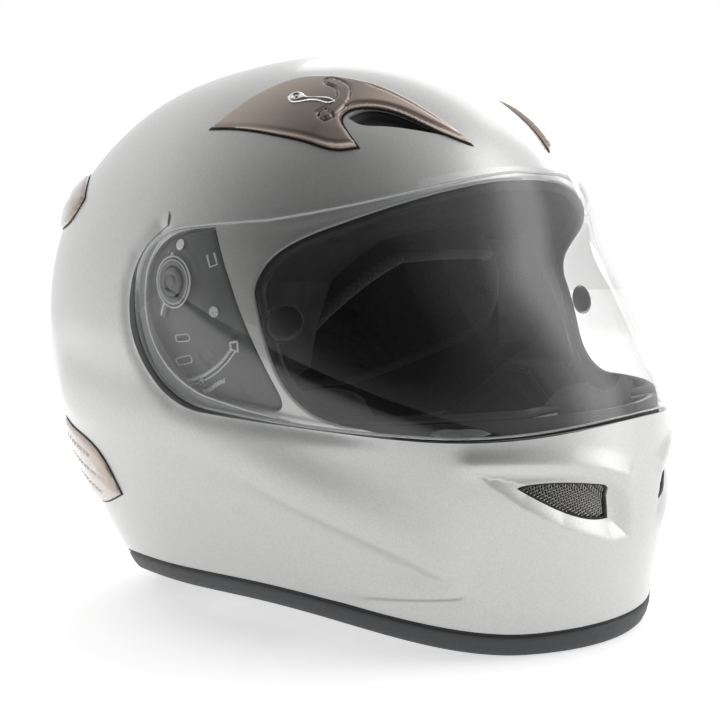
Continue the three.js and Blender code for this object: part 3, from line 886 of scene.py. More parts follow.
def bronze_paint():
    """Satin brown bronze with painted light: a painted highlight on the fin's front arm, painted shade at
    its barb, and paler again towards the helmet's back.
    """
    material, tree, shader = finish_of(
        "bronze_paint", (0.4, 0.33, 0.28), 0.3, 0.8, Coat_Weight=0.35, Coat_Roughness=0.1
    )
    split = add_node(tree, "SeparateXYZ", {"Vector": object_place(tree)})
    painted_light_share = add_node(tree, "MapRange", {
        "From Min": -0.112, "From Max": -0.015, "Value": split.outputs["Y"],
    })
    # Painted highlight and painted shade along the fin: palest at the front arm, darkest at the barb.
    color = ramp(tree, painted_light_share.outputs["Result"], [
        (0.0, (0.72, 0.60, 0.52)), (0.28, (0.52, 0.42, 0.36)), (0.45, (0.26, 0.21, 0.18)),
        (0.62, (0.36, 0.30, 0.26)), (1.0, (0.52, 0.44, 0.38)),
    ])
    grain = noise(tree, 1800, 2)
    mix = add_node(tree, "Mix", data_type="RGBA", blend_type="MULTIPLY")
    mix.inputs["Factor"].default_value = 0.25
    tree.links.new(color, mix.inputs["A"])
    tree.links.new(grain, mix.inputs["B"])
    tree.links.new(mix.outputs["Result"], shader.inputs["Base Color"])
    bumped(tree, shader, grain, 0.06, 0.0002)
    return material


def pale_bronze():
    """Tinted glossy plastic of the rear vents."""
    material, tree, shader = finish_of(
        "pale_bronze", (0.5, 0.42, 0.36), 0.22, 0.35, Coat_Weight=0.6, Coat_Roughness=0.06
    )
    color = ramp(tree, noise(tree, 26), [(0.3, (0.42, 0.35, 0.3)), (0.7, (0.6, 0.52, 0.46))])
    tree.links.new(color, shader.inputs["Base Color"])
    return material


def moulded_plastic(name, color, roughness, scale=1400, depth=0.00025):
    material, tree, shader = finish_of(name, color, roughness)
    grain = noise(tree, scale)
    rough = ramp(tree, grain, [(0.35, roughness - 0.07), (0.65, roughness + 0.08)])
    tree.links.new(rough, shader.inputs["Roughness"])
    bumped(tree, shader, grain, 0.18, depth)
    return material


def plain_metal(name, color, roughness):
    """Polished metal with faint scratches."""
    material, tree, shader = finish_of(name, color, roughness, 1.0)
    rough = ramp(tree, noise(tree, 700, 4), [(0.3, max(roughness - 0.05, 0.03)), (0.7, roughness + 0.07)])
    tree.links.new(rough, shader.inputs["Roughness"])
    return material


def cloth(name, color, light, scale, sheen=0.35, strength=0.5):
    """Knit or woven fabric: a fine crossed weave with soft colour changes."""
    material, tree, shader = finish_of(name, color, 0.9, 0.0, Sheen_Weight=sheen, Sheen_Roughness=0.5)
    thread = {"Scale": scale, "Distortion": 1.2, "Detail": 1.0, "Vector": object_place(tree)}
    waves = [add_node(tree, "TexWave", thread, bands_direction=way) for way in ("X", "Z")]
    weave = math_node(tree, "MULTIPLY", waves[0].outputs["Fac"], waves[1].outputs["Fac"])
    tree.links.new(ramp(tree, weave, [(0.0, color), (1.0, light)]), shader.inputs["Base Color"])
    bumped(tree, shader, weave, strength, 0.0006)
    return material


def see_through(name, tint, roughness, ior=1.5, body=0.0, body_color=(0.8, 0.8, 0.8)):
    """Thin clear plastic: it lets light straight through, with a sharp reflection on top."""
    material, tree, shader = finish_of(name, (1, 1, 1), roughness, 1.0)
    base = add_node(tree, "BsdfTransparent", {"Color": (*tint, 1)}).outputs[0]
    if body:
        haze = add_node(tree, "BsdfDiffuse", {"Color": (*body_color, 1)}).outputs[0]
        base = add_node(tree, "MixShader", {0: body, 1: base, 2: haze}).outputs[0]
    fresnel = add_node(tree, "Fresnel", {"IOR": ior}).outputs[0]
    back = add_node(tree, "NewGeometry").outputs["Backfacing"]
    share = math_node(tree, "MULTIPLY", fresnel, math_node(tree, "SUBTRACT", 1.0, back))
    mix = add_node(tree, "MixShader", {0: share, 1: base, 2: shader.outputs[0]})
    tree.links.new(mix.outputs[0], tree.nodes["Material Output"].inputs["Surface"])
    return material


SILVER = silver_paint()
BRONZE = bronze_paint()
PALE_BRONZE = pale_bronze()
PLATE_GREY = moulded_plastic("plate_grey", (0.085, 0.087, 0.09), 0.42, 160, 0.00003)
DETAIL_GREY = moulded_plastic("detail_grey", (0.13, 0.133, 0.138), 0.34)
DARK_PLASTIC = moulded_plastic("dark_plastic", (0.018, 0.018, 0.019), 0.5)
PIN_BLACK = moulded_plastic("pin_black", (0.006, 0.006, 0.006), 0.35)
TRIM_RUBBER = moulded_plastic("trim_rubber", (0.043, 0.045, 0.048), 0.55, 900)
SEAL_RUBBER = moulded_plastic("seal_rubber", (0.006, 0.006, 0.0065), 0.6, 300, 0.00008)
LIP_RUBBER = moulded_plastic("lip_rubber", (0.33, 0.33, 0.34), 0.4, 900)
FOAM = moulded_plastic("bead_foam", (0.007, 0.007, 0.0075), 0.85, 140, 0.0004)
CHROME = plain_metal("chrome", (0.86, 0.86, 0.87), 0.08)
STEEL = plain_metal("steel", (0.58, 0.58, 0.6), 0.26)
MESH_WIRE = plain_metal("mesh_wire", (0.36, 0.355, 0.34), 0.4)
KNIT = cloth("lining_knit", (0.0025, 0.0025, 0.003), (0.006, 0.006, 0.0065), 120, 0.03, 0.2)
WEBBING = cloth("webbing", (0.008, 0.008, 0.009), (0.03, 0.03, 0.032), 150, 0.15, 0.8)
PIPING = cloth("piping", (0.009, 0.009, 0.01), (0.018, 0.018, 0.02), 150, 0.08, 0.3)
VISOR_CLEAR = see_through("visor_clear", (0.94, 0.94, 0.938), 0.015, 1.62)
VISOR_EDGE = see_through("visor_edge", (0.62, 0.64, 0.65), 0.12, 1.5, 0.45, (0.75, 0.77, 0.78))
VISOR_BAND = see_through("visor_band", (0.80, 0.81, 0.82), 0.1, 1.5, 0.12, (0.6, 0.61, 0.62))
# Near-white haze: painted highlights on the visor's rib and on the raised lines of the black hinge plates
# and lock rings.
PAINTED_HIGHLIGHT_LINES = see_through("painted_highlight_lines", (0.7, 0.72, 0.73), 0.08, 1.5, 0.6, (0.95, 0.96, 0.97))


def paint(obj, material):
    obj.data.materials.clear()
    obj.data.materials.append(material)
    return obj


def place(obj, material, body, slot, *nodes):
    """Finishes a piece: its material, its body and the CAD nodes that it stands for. Its slot is not used.
    """
    paint(obj, material)
    return settle_in(obj, body, slot, *nodes)


def settle_in(obj, body, slot, *nodes):
    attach(obj, body)
    if nodes:
        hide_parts(*nodes)
    return obj


def place_pair(obj, name, material, bodies, slot, *nodes):
    """Finishes a piece on the rider's right and its mirror image on the left."""
    paint(obj, material)
    twin = mirror(obj, f"{name}_left")
    obj.name = f"{name}_right"
    right_body, left_body = bodies if isinstance(bodies, tuple) else (bodies, bodies)
    settle_in(obj, right_body, slot, *[f"{n}_right" for n in nodes])
    settle_in(twin, left_body, slot, *[f"{n}_left" for n in nodes])
    return obj, twin


def keep_node(name, material):
    """A CAD node that is shown as it is, with a better material."""
    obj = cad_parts[name]
    paint(obj, material)
    shade(obj, 30)


# ------------------------------------------------------------------ stage and camera

FLOOR_HALF = 6.0  # metres
# Light from the room by angle from its dark middle, as a share of half a turn.
ROOM_LIGHT = [(0.0, 0.03), (0.155, 0.1), (0.28, 0.5), (0.4, 0.9), (0.5, 1.0)]
# Light from the window by degrees to the left of the front.
WINDOW_LIGHT = [
    (-180, 0), (-19, 0), (-18, 0.45), (0, 0.6), (12, 1.2), (27, 2.9), (38, 2.8), (50, 1.2),
    (70, 0.8), (110, 0.4),
]
WINDOW_LEAN = 24.0  # degrees that its edges lean over, from level to straight up


def looking(azimuth, elevation):
    """The direction at an azimuth and an elevation in degrees, from the front round to the left."""
    a, e = math.radians(azimuth), math.radians(elevation)
    return math.sin(a) * math.cos(e), -math.cos(a) * math.cos(e), math.sin(e)


def add_camera():
    """A camera at 3/4 front right of the helmet, a little above its middle."""
    roll = math.radians(-2.30)
    target = Vector((0.01516, 0.0003, 0.11493))
    distance = 0.60741
    back = Vector(looking(-47.84, 4.29))
    right = (-back).cross(Vector((0, 0, 1))).normalized()
    up = right.cross(-back)
    tilted_right = right * math.cos(roll) + up * math.sin(roll)
    tilted_up = up * math.cos(roll) - right * math.sin(roll)
    data = bpy.data.cameras.new("camera")
    data.lens = 57.53
    data.sensor_width = 36.0
    data.clip_start = 0.01
    camera = added("camera", data)
    turn = Matrix((tilted_right, tilted_up, back)).transposed().to_4x4()
    camera.matrix_world = Matrix.Translation(target + back * distance) @ turn
    bpy.context.scene.camera = camera


def add_light(name, location, aim, size, power):
    data = bpy.data.lights.new(name, "AREA")
    data.shape = "RECTANGLE"
    data.size, data.size_y = size
    data.energy = power
    light = added(name, data)
    light.location = location
    light.rotation_euler = (Vector(aim) - Vector(location)).to_track_quat("-Z", "Y").to_euler()


def add_world():
    """A white room with a dark patch at the front right, and a soft window at the front left."""
    world = bpy.data.worlds.new("studio")
    world.use_nodes = True
    bpy.context.scene.world = world
    tree = world.node_tree
    direction = add_node(tree, "TexCoord").outputs["Generated"]
    angle = math_node(tree, "ARCCOSINE", dot_with(tree, direction, looking(-59, 38)))
    room = ramp(tree, math_node(tree, "DIVIDE", angle, math.pi), ROOM_LIGHT)
    split = add_node(tree, "SeparateXYZ", {"Vector": direction})
    ahead = math_node(tree, "MULTIPLY", split.outputs["Y"], -1.0)
    turn = math_node(tree, "DEGREES", math_node(tree, "ARCTAN2", split.outputs["X"], ahead))
    leaning = math_node(tree, "SUBTRACT", turn, math_node(tree, "MULTIPLY", split.outputs["Z"], WINDOW_LEAN))
    half = 180 + WINDOW_LEAN + 1
    share = math_node(tree, "DIVIDE", math_node(tree, "ADD", leaning, half), 2 * half)
    stops = [((degrees + half) / (2 * half), strength) for degrees, strength in WINDOW_LIGHT]
    window = ramp(tree, share, stops)
    low = ramp(tree, split.outputs["Z"], [(0.0, 1.0), (0.72, 1.0), (0.88, 0.15), (1.0, 0.15)])
    light = math_node(tree, "MAXIMUM", room, math_node(tree, "MULTIPLY", window, low))
    tree.links.new(light, tree.nodes["Background"].inputs["Strength"])
    tree.nodes["Background"].inputs["Color"].default_value = (1, 1, 1, 1)


def add_stage():
    """A pale floor that glows behind the helmet and is painted dark ahead of it as painted shade, the room
    and one lamp.
    """
    half = FLOOR_HALF / MM
    corners = [(-half, -half, 0), (half, -half, 0), (half, half, 0), (-half, half, 0)]
    floor = make("floor", corners, [(0, 1, 2, 3)])
    material, tree, shader = finish_of("floor_white", (0.86, 0.86, 0.86), 0.9)
    tone = ramp(tree, noise(tree, 3, 2), [(0.3, 0.85), (0.7, 0.87)])
    # Painted shade: the floor's colour and glow fall to dark ahead of the helmet.
    ahead = dot_with(tree, object_place(tree), looking(-58, 0))
    reach = math_node(tree, "DIVIDE", ahead, 2.0)
    lit = ramp(tree, reach, [(0.0, 1.0), (0.27, 1.0), (0.5, 0.06), (1.0, 0.03)])
    shaded = add_node(tree, "VectorMath", {0: tone, "Scale": lit}, operation="SCALE").outputs["Vector"]
    tree.links.new(shaded, shader.inputs["Base Color"])
    tree.links.new(shaded, shader.inputs["Emission Color"])
    shader.inputs["Emission Strength"].default_value = 0.72
    paint(floor, material)
    add_world()
    add_light("left_box", (1.6, 0.6, 1.2), (0, 0, 0.12), (1.6, 1.4), 9)
    bpy.context.scene.view_settings.view_transform = "Standard"


# ------------------------------------------------------------------ shell

SWEPT_RADIUS = [20, 25, 35, 45, 53, 80, 114]
SWEPT_TO = [112, 107, 83, 74, 69.5, 65, 62.5]  # degrees that the raised visor's upper edge reaches


def recess_fade(degrees, radius):
    """Share by which the recess floor comes out to the shell behind the raised visor."""
    start = np.interp(radius, SWEPT_RADIUS, SWEPT_TO) + 3.0
    end = np.interp(radius, [25, 34, 40, 54, 70, 130], [106, 101.5, 100, 91, 93, 90]) - 0.5
    share = smooth((degrees - start) / np.maximum(end - start, 4.0))
    share *= smooth((radius - 27) / 4)
    return np.where((degrees > start) & (degrees < 150), share, 0.0)


def build_shell():
    shell = shell_body("outer_shell_moulded", 0, 560, 400, moulded=True)
    floor = wing_body("recess_floor", FLOOR_DEPTH, floor=True, fade=recess_fade)
    cutter = prism("recess_cutter", dense(recess_outline(), 3), side_view)
    combine(shell, combine(cutter, floor, "DIFFERENCE"), "DIFFERENCE")
    pocket = prism("pocket_cutter", shifted(plate_outline(), 0.6), side_view)
    pocket_floor = wing_body("pocket_floor", POCKET_DEPTH, floor=True, across=120, around=70)
    combine(shell, combine(pocket, pocket_floor, "DIFFERENCE"), "DIFFERENCE")
    hollow = shell_body("hollow", -SHELL_WALL, 120, 80)
    for outline, depth in ((recess_outline(), FLOOR_DEPTH + 3), (plate_outline(), 12)):
        behind = prism("behind", dense(shifted(outline, 3), 4), side_view)
        behind_floor = wing_body("behind_floor", depth, floor=True, across=96, around=60)
        combine(hollow, combine(behind, behind_floor, "DIFFERENCE"), "DIFFERENCE")
    combine(shell, hollow, "DIFFERENCE")
    combine(shell, prism("port_cutter", port_outline(), side_view), "DIFFERENCE")
    combine(shell, below_rim("rim_cutter", TRIM_HEIGHT + 0.3), "DIFFERENCE")
    for side in (RIGHT, LEFT):
        grille = [(-side * x, z) for x, z in grille_outline()]
        combine(shell, prism("grille_cutter", grille, front_view, -220, -110), "DIFFERENCE")
        mouth = prism("mouth_cutter", mouth_outline(), fin_view, -30, 30)
        if side == LEFT:
            twin = mirror(mouth, "mouth_cutter_left")
            drop(mouth)
            mouth = twin
        combine(shell, mouth, "DIFFERENCE")
    surfaces = [
        moulded_field, floor_field(FLOOR_DEPTH), floor_field(POCKET_DEPTH),
        lambda p: shell_field(p) + SHELL_WALL,
    ]
    polish(shell, surfaces, 0.6, 0.75)
    place(shell, SILVER, "helmet", "silver_paint", "outer_shell")


def rim_section(theta, height, out):
    """Points on the shell's plain surface round the rim, at a height above it and a distance off it."""
    level = np.stack([np.cos(theta), np.sin(theta), np.zeros_like(theta)], axis=1)
    z = rim_height(level[:, 0], level[:, 1]) + height
    base = np.stack([np.zeros_like(theta), np.full_like(theta, AXIS_Y), z], axis=1) + level * 130.0
    edge = land(base, level, shell_field, 70.0)
    return edge + level * out


def ring_of_sections(name, sections):
    """A closed band round the helmet from a loop of rings."""
    faces = tube_faces(len(sections), len(sections[0]), closed=True)
    return make(name, np.vstack(sections), faces, 50.0)


def build_trim():
    """Rubber edge trim with rounded corners and a fine groove under the shell."""
    theta = full_turn(300)
    outline = [
        (0.0, -5.2), (0.0, -1.6), (0.5, -0.4), (1.4, 0.3), (4.0, 0.8), (7.0, 0.8), (8.6, 0.6),
        (9.3, -0.1), (9.7, -0.5), (10.1, -1.2), (10.1, -4.6), (6.5, -5.8), (2.0, -5.9),
    ]
    trim = ring_of_sections("lower_trim_rubber", [rim_section(theta, h, out) for h, out in outline])
    place(trim, TRIM_RUBBER, "helmet", "black_rubber", "lower_trim")
    line = [(9.6, -1.3), (9.6, -0.1), (10.0, 0.32), (10.5, 0.32), (10.9, -0.15), (10.9, -1.3)]
    seal = ring_of_sections("trim_lip", [rim_section(theta, h, out) for h, out in line])
    place(seal, SEAL_RUBBER, "helmet", "black_rubber")


# ------------------------------------------------------------------ eye port seal


def floor_field(depth):
    return lambda p: wing_field(p, depth, True)


def outer_field(depth):
    return lambda p: wing_field(p, depth, False)


def resampled(loop, count):
    """Evenly spaced points round a closed line."""
    closed = np.vstack([loop, loop[:1]])
    steps = np.r_[0, np.cumsum(np.linalg.norm(np.diff(closed, axis=0), axis=1))]
    t = np.linspace(0, steps[-1], count, endpoint=False)
    return np.stack([np.interp(t, steps, closed[:, i]) for i in range(3)], axis=1)


def laid_on_side(line, field, start=-80.0, middle=-0.5):
    """The points of a side outline that meet a surface, laid on the rider's right of it."""
    meets = field(side_view(line, middle)) < 0
    return land(side_view(line[meets], start), SIDE.direction, field, middle - start)


def both_sides(side):
    """A loop from a line on the rider's right and its mirror image."""
    return np.vstack([side, side[::-1] * MIRRORED])


def port_loop(grow, depth, count=360):
    """The port's edge as a closed 3-D loop: both sides, over the brow and across the chin."""
    outline = dense(shifted(port_outline(), grow), 1.5)
    side = laid_on_side(outline[outline[:, 0] > -150], floor_field(depth), middle=-1.0)
    loop = both_sides(side[::-1])
    apart = np.linalg.norm(np.roll(loop, -1, axis=0) - loop, axis=1) > 0.05
    return resampled(loop[apart], count)


def lower_line(outline, field, x):
    """The lower front edge of a side outline on a surface, at given x."""
    line = dense(outline, 0.8)
    line = line[(line[:, 1] < 101.5) & (line[:, 0] < -84) & (line[:, 0] > -176)]
    laid = laid_on_side(line, field)
    laid = laid[np.argsort(laid[:, 0])]
    return np.stack([np.interp(-np.abs(x), laid[:, 0], laid[:, i]) for i in (1, 2)], axis=1)


def build_lower_lip():
    """Rubber seal along the ledge between the eye port and the visor's lower edge."""
    half = 103
    x = np.linspace(-half, half, 150)
    field = floor_field(FLOOR_DEPTH)
    near = lower_line(port_outline(), field, x)
    far = lower_line(shifted(recess_outline(), -0.25), field, x)
    wide = smooth((half - np.abs(x)) / 12)[:, None]
    rows = [
        near + (far - near) * wide * share + (1 - share) * np.array([0, 0.3])
        for share in np.linspace(0, 1, 8)
    ]
    grid = np.stack([np.column_stack([x, row]) for row in rows])
    flat = grid.reshape(-1, 3)
    normal = gradient(field, flat)
    laid = land(flat, normal, field, 8.0)
    upper, lower = ((laid + normal * height).reshape(grid.shape) for height in (0.75, -0.2))
    place(slab("port_lower_lip", upper, lower), SEAL_RUBBER, "helmet", "black_rubber")


def build_gasket():
    """The eye port's black seal, and the paler lip on the port's edge."""
    floor = floor_field(FLOOR_DEPTH)
    loop = port_loop(-1.6, FLOOR_DEPTH + 0.6)
    normal = gradient(floor, loop)
    seal = bead("port_seal", loop - normal * 1.2, 2.1, sides=12, flat=1.15, normals=normal)
    place(seal, SEAL_RUBBER, "helmet", "black_rubber", "port_gasket")
    edge = port_loop(0.5, FLOOR_DEPTH)
    normal = gradient(floor, edge)
    lip = bead("port_seal_lip", edge + normal * 0.15, 0.75, flat=0.7, normals=normal)
    place(lip, LIP_RUBBER, "helmet", "black_rubber")


# ------------------------------------------------------------------ visor


def visor_edge_loop(grow, depth, step=2.0):
    """The visor's outline as a closed 3-D loop on a surface under its outer one."""
    outline = dense(shifted(visor_outline(), grow), step)
    rows = outline[outline[:, 0] > -209.0]
    gap = np.argmax(np.linalg.norm(np.diff(np.vstack([rows, rows[:1]]), axis=0), axis=1))
    return both_sides(laid_on_side(np.roll(rows, -(gap + 1), axis=0), outer_field(depth)))


def build_visor():
    visor = wing_body("visor_shield", 0, across=300, around=180)
    combine(visor, wing_body("visor_inside", VISOR_WALL, across=300, around=180), "DIFFERENCE")
    combine(visor, prism("visor_cutter", visor_outline(), side_view), "INTERSECT")
    polish(visor, [outer_field(0), outer_field(VISOR_WALL)])
    place(visor, VISOR_CLEAR, "visor", "clear_visor", "visor")
    rim = resampled(visor_edge_loop(-0.3, VISOR_WALL / 2), 520)
    edge = bead("visor_rim", rim, 0.55, flat=2.0, normals=gradient(outer_field(0), rim))
    place(edge, VISOR_EDGE, "visor", "clear_visor")


def wing_line(inset):
    """The rear of the visor's outline, moved inwards, from the lower edge round to the upper one."""
    outline = dense(shifted(visor_outline(), -inset), 1.0)
    first, last = (int(np.argmin(np.linalg.norm(outline - end, axis=1))) for end in ((-76, 102), (-46, 183)))
    return np.roll(outline, -first, axis=0)[: (last - first) % len(outline)]


def aside(line):
    """The flat direction across each point of a line, on its right-hand side."""
    heading = unit(np.gradient(line, axis=0))
    return np.stack([heading[:, 1], -heading[:, 0]], axis=1)


def build_wing_band():
    """Bevelled border band moulded into the visor's wing, and the rib along its inner edge."""
    outer = wing_line(0.6)
    inward = aside(outer)
    middle = len(outer) // 2
    if inward[middle] @ (np.array([PIVOT_Y - 20, PIVOT_Z]) - outer[middle]) < 0:
        inward = -inward
    share = np.linspace(0, 1, len(outer))
    width = 0.4 + 5.0 * smooth(share / 0.35) * smooth((0.86 - share) / 0.22)
    inner = outer + inward * width[:, None]
    band = patch(
        "wing_band", np.vstack([outer, inner[::-1]]), SIDE, outer_field(VISOR_WALL),
        -0.1, lambda p, d: -0.25 - 0.5 * smooth(d / 1.6), 1.6, angle=60,
    )
    place_pair(band, "wing_band", VISOR_BAND, "visor", "clear_visor")
    line = (inner + inward * 0.5)[(share > 0.03) & (share < 0.84)]
    path = SIDE.on(line, outer_field(VISOR_WALL + 0.2))
    rib = bead("wing_rib", path, 0.42, closed=False, sides=6, normals=gradient(outer_field(0), path))
    # The rib is painted near white: a painted highlight along it.
    place_pair(rib, "wing_rib", PAINTED_HIGHLIGHT_LINES, "visor", "clear_visor")


def build_lifting_tab():
    """The small thumb tab on the visor's lower edge, on the rider's right."""
    tab = [(-144, 95.9), (-141.5, 97.6), (-135, 98.2), (-129.5, 98.3), (-127.3, 97.0), (-134, 94.3)]
    lift = patch(
        "lifting_tab", through(tab[:3], tab[2:5], tab[4:] + tab[:1]), SIDE, outer_field(0),
        lambda p, d: 0.5 + 2.2 * smooth(1 - (p[:, 1] - 94.5) / 3.5) * smooth(d + 0.35), -0.2, 0.5, angle=40,
    )
    place(lift, VISOR_BAND, "visor", "clear_visor")


def build_visor_pins():
    """The round black pins on the visor's inside, each with a fine ring round it."""
    pin = patch(
        "visor_pin", circle(PIN_PLACE, PIN_RADIUS, 45), SIDE, outer_field(VISOR_WALL + 1.7),
        lambda p, d: 1.3 - 0.5 * smooth(1 - d / 0.8), lambda p, d: -0.3 * smooth(d), angle=40,
    )
    place_pair(pin, "visor_pin_disc", PIN_BLACK, "visor", "black_plastic", "visor_pin")
    path = SIDE.on(circle(PIN_PLACE, PIN_RADIUS + 0.6, 90), outer_field(VISOR_WALL + 0.7))
    ring = bead("pin_ring", path, 0.3, normals=gradient(outer_field(0), path))
    place_pair(ring, "pin_ring", DARK_PLASTIC, "visor", "black_plastic")


# ------------------------------------------------------------------ hinge plates


def on_plate(points, lift):
    return SIDE.on(np.array(points, float), floor_field(PLATE_TOP - lift))


def plate_bead(points, radius, lift=0.1, closed=False, sides=6):
    path = on_plate(points, lift)
    return bead("bead", path, radius, closed=closed, sides=sides, normals=gradient(floor_field(0), path))


def flat_axes(angle):
    """The flat direction at an angle, and the one across it."""
    return np.array([math.cos(angle), math.sin(angle)]), np.array([-math.sin(angle), math.cos(angle)])


def oval(center, length, width, angle, count=28):
    """A rounded slot's outline in the side view."""
    a = math.radians(angle)
    turn = full_turn(count)
    x = np.cos(turn) * width / 2 + np.sign(np.cos(turn)) * (length - width) / 2
    y = np.sin(turn) * width / 2
    along, across = flat_axes(a)
    return np.array(center) + x[:, None] * along + y[:, None] * across


SLOTS = [((-20.2, 136.0), 10.0, 2.2, -4), ((-16.6, 126.0), 14.0, 2.4, -9)]
RECESS_OVALS = [((-34.5, 128.0), 14.0, 9.0, 38), ((-57.5, 116.5), 15.0, 12.0, -30)]


def plate_height(flat, distance):
    """The plate's moulded top: rounded rim, a turned seat round the hub, slots and shallow pans."""
    height = -1.0 * smooth(1 - distance / 1.4)
    away = flat - HUB
    hub = np.hypot(away[:, 0], away[:, 1])
    height -= 0.7 * smooth((9.6 - hub) / 0.6) - 0.45 * smooth((5.2 - hub) / 0.5)
    height += 0.35 * bell(hub - 14.5, 0.8)
    for pans, depth, edge in ((SLOTS, 1.3, 0.6), (RECESS_OVALS, 0.8, 1.5)):
        for pan in pans:
            height -= depth * smooth(edge_distance(flat, oval(*pan)) / edge)
    track = np.abs(hub - 38.5)
    low = np.degrees(np.arctan2(away[:, 1], away[:, 0]))
    height -= 0.7 * smooth((2.2 - track) / 0.8) * smooth((low + 150) / 6) * smooth((-62 - low) / 6)
    return height


def build_plates():
    plate = patch(
        "hinge_plate", plate_outline(), SIDE, floor_field(PLATE_TOP), plate_height,
        PLATE_TOP - 8.4, 0.8, angle=45,
    )
    place_pair(plate, "hinge_plate", PLATE_GREY, "helmet", "black_plastic", "base_plate")


def build_ratchet():
    """The plate's raised lines: slot rims, a clip, the toothed arc, its crumbs and the box at its end, all
    painted pale as painted highlights.
    """
    details = [
        plate_bead(oval(center, length + 0.8, width + 0.8, angle), 0.34, 0.1, True)
        for center, length, width, angle in SLOTS
    ]
    clip = [(-38.6, 170.6), (-40.2, 165.6), (-43.6, 166.6), (-42.0, 171.4)]
    details.append(plate_bead(clip, 0.5, 0.2))
    arc = polyline([
        (-6.5, 116.6), (-15, 116.3), (-22.4, 117.2), (-32.5, 120),
        (-40.7, 123.6), (-46.8, 127.6), (-51, 131.2),
    ], 90)
    across = aside(arc)
    tooth = np.where(np.arange(len(arc)) % 3 == 0, 1.0, 0.2)[:, None]
    details.append(plate_bead(arc + across * (0.3 + tooth), 0.5, 0.35))
    details.append(plate_bead(arc - across * 1.1, 0.4, 0.2))
    crumbs = polyline([(-25.8, 112.6), (-32.6, 114.2), (-36.9, 116.2), (-43.2, 118.2)], 34)
    jag = np.where(np.arange(len(crumbs)) % 4 < 2, 0.7, -0.7)[:, None] * np.array([0.3, 1.0])
    details.append(plate_bead(crumbs + jag, 0.45, 0.15))
    box = [(-50.0, 131.4), (-53.2, 130.4), (-53.6, 134.8), (-49.8, 134.2)]
    details.append(plate_bead(dense(box, 1.0), 0.5, 0.25, True))
    # Black plastic ridges painted near white: painted highlights.
    place_pair(joined("plate_ratchet", details), "plate_ratchet", PAINTED_HIGHLIGHT_LINES, "helmet", "black_plastic")


def build_pegs():
    """Two small pale pegs that stand out of the plate."""
    pegs = [
        patch("peg", circle(center, radius, 20), SIDE, floor_field(PLATE_TOP),
              lambda p, d: 0.25 + 0.5 * smooth(d / 0.8), -0.6, 0.4, angle=60)
        for center, radius in (((-15.6, 173.2), 0.8), ((-43.2, 146.9), 0.95))
    ]
    place_pair(joined("plate_pegs", pegs), "plate_pegs", LIP_RUBBER, "helmet", "black_plastic")


def hub_height(flat, distance):
    """The hub's turned top: a rounded rim, a groove and a raised middle."""
    r = np.hypot(flat[:, 0] - PIVOT_Y, flat[:, 1] - PIVOT_Z)
    rim = 2.6 - 0.5 * smooth(1 - distance / 0.9)
    return rim - 0.9 * smooth((4.3 - r) / 0.6) + 0.8 * smooth((2.7 - r) / 0.5)


def build_hubs():
    top = floor_field(PLATE_TOP)
    hub = patch("hinge_hub", circle(HUB, 5.9, 40), SIDE, top, hub_height, -0.5, 0.5, angle=45)
    place_pair(hub, "hinge_hub", DETAIL_GREY, "helmet", "black_plastic", "pivot_hub")


def build_lock_rings():
    """The ring that locks the visor, with its tab, and the lines on it, painted pale as painted highlights.
    """
    bodies = ("release_lever_right", "release_lever_left")
    angle = math.radians(TAB_ANGLE)
    along, across = flat_axes(angle)
    arc = np.linspace(angle + 0.22, angle + 2 * math.pi - 0.22, 60)
    ring = list(HUB + 9.9 * np.stack([np.cos(arc), np.sin(arc)], axis=1))
    tip_points = ((16.6, -2.1), (17.8, -1.2), (18.0, 0), (17.8, 1.2), (16.6, 2.1))
    tip = [HUB + along * u + across * v for u, v in tip_points]
    lever = patch(
        "lock_ring", ring + tip, SIDE, floor_field(PLATE_TOP),
        lambda p, d: 1.7 - 0.5 * smooth(1 - d / 0.8), 0.35, 0.7, holes=[circle(HUB, 6.9, 40)], angle=45,
    )
    place_pair(lever, "lock_ring", DETAIL_GREY, bodies, "black_plastic", "release_lever")
    # The lines on the black ring are painted near white: painted highlights.
    rings = ((10.9, 0.42), (9.3, 0.3))
    lines = [plate_bead(circle(HUB, radius, 80), thick, 1.5, True) for radius, thick in rings]
    for degrees, start, end in ((90, 11.2, 12.4), (TAB_ANGLE, 11.2, 17.6)):
        rod = HUB + np.linspace(start, end, 6)[:, None] * flat_axes(math.radians(degrees))[0]
        lines.append(plate_bead(rod, 0.8, 1.3))
    place_pair(joined("lock_ring_lines", lines), "lock_ring_lines", PAINTED_HIGHLIGHT_LINES, bodies, "black_plastic")


# ------------------------------------------------------------------ vents


def gap_to(flat, points, count=40):
    """Distance from flat points to a smooth open line."""
    line = polyline(points, count)
    return np.min(np.linalg.norm(flat[:, None] - line[None], axis=2), axis=1)


NOTCH = np.array([(5.2, -15.5), (1.2, -10.5), (4.2, -7.6), (8.6, -12.8)], float)


def fin_height(flat, distance):
    """Low at the tail, high over the hooked barb, with a double ridge along the upper front edge."""
    rise = 1.5 + 1.5 * smooth((flat[:, 0] + 44) / 40)
    height = rise + 0.5 * smooth((-8 - flat[:, 1]) / 12) * smooth((flat[:, 0] + 10) / 20)
    rounded = 1 - (1 - np.clip(distance / 2.6, 0, 1)) ** 2
    height = 0.9 + (height - 0.9) * np.sqrt(np.maximum(rounded, 0))
    ridge = gap_to(flat, [(17, 12.6), (32.8, 6.2), (49, -1.6), (61, -6.0)])
    height -= 0.6 * bell(ridge, 0.55) * smooth((flat[:, 0] - 16) / 5)
    band = gap_to(flat, [(3.5, 11.5), (8.5, 8), (10.4, 1.5), (8.6, -5.5), (4.6, -11.5)])
    height -= 0.75 * bell(band - 2.9, 0.45)
    grip = np.cos(flat[:, 1] * 2.6) ** 2
    height += (0.2 + 0.25 * grip) * smooth((2.4 - band) / 0.5)
    return height - 0.8 * bell(edge_distance(flat, NOTCH), 0.5)


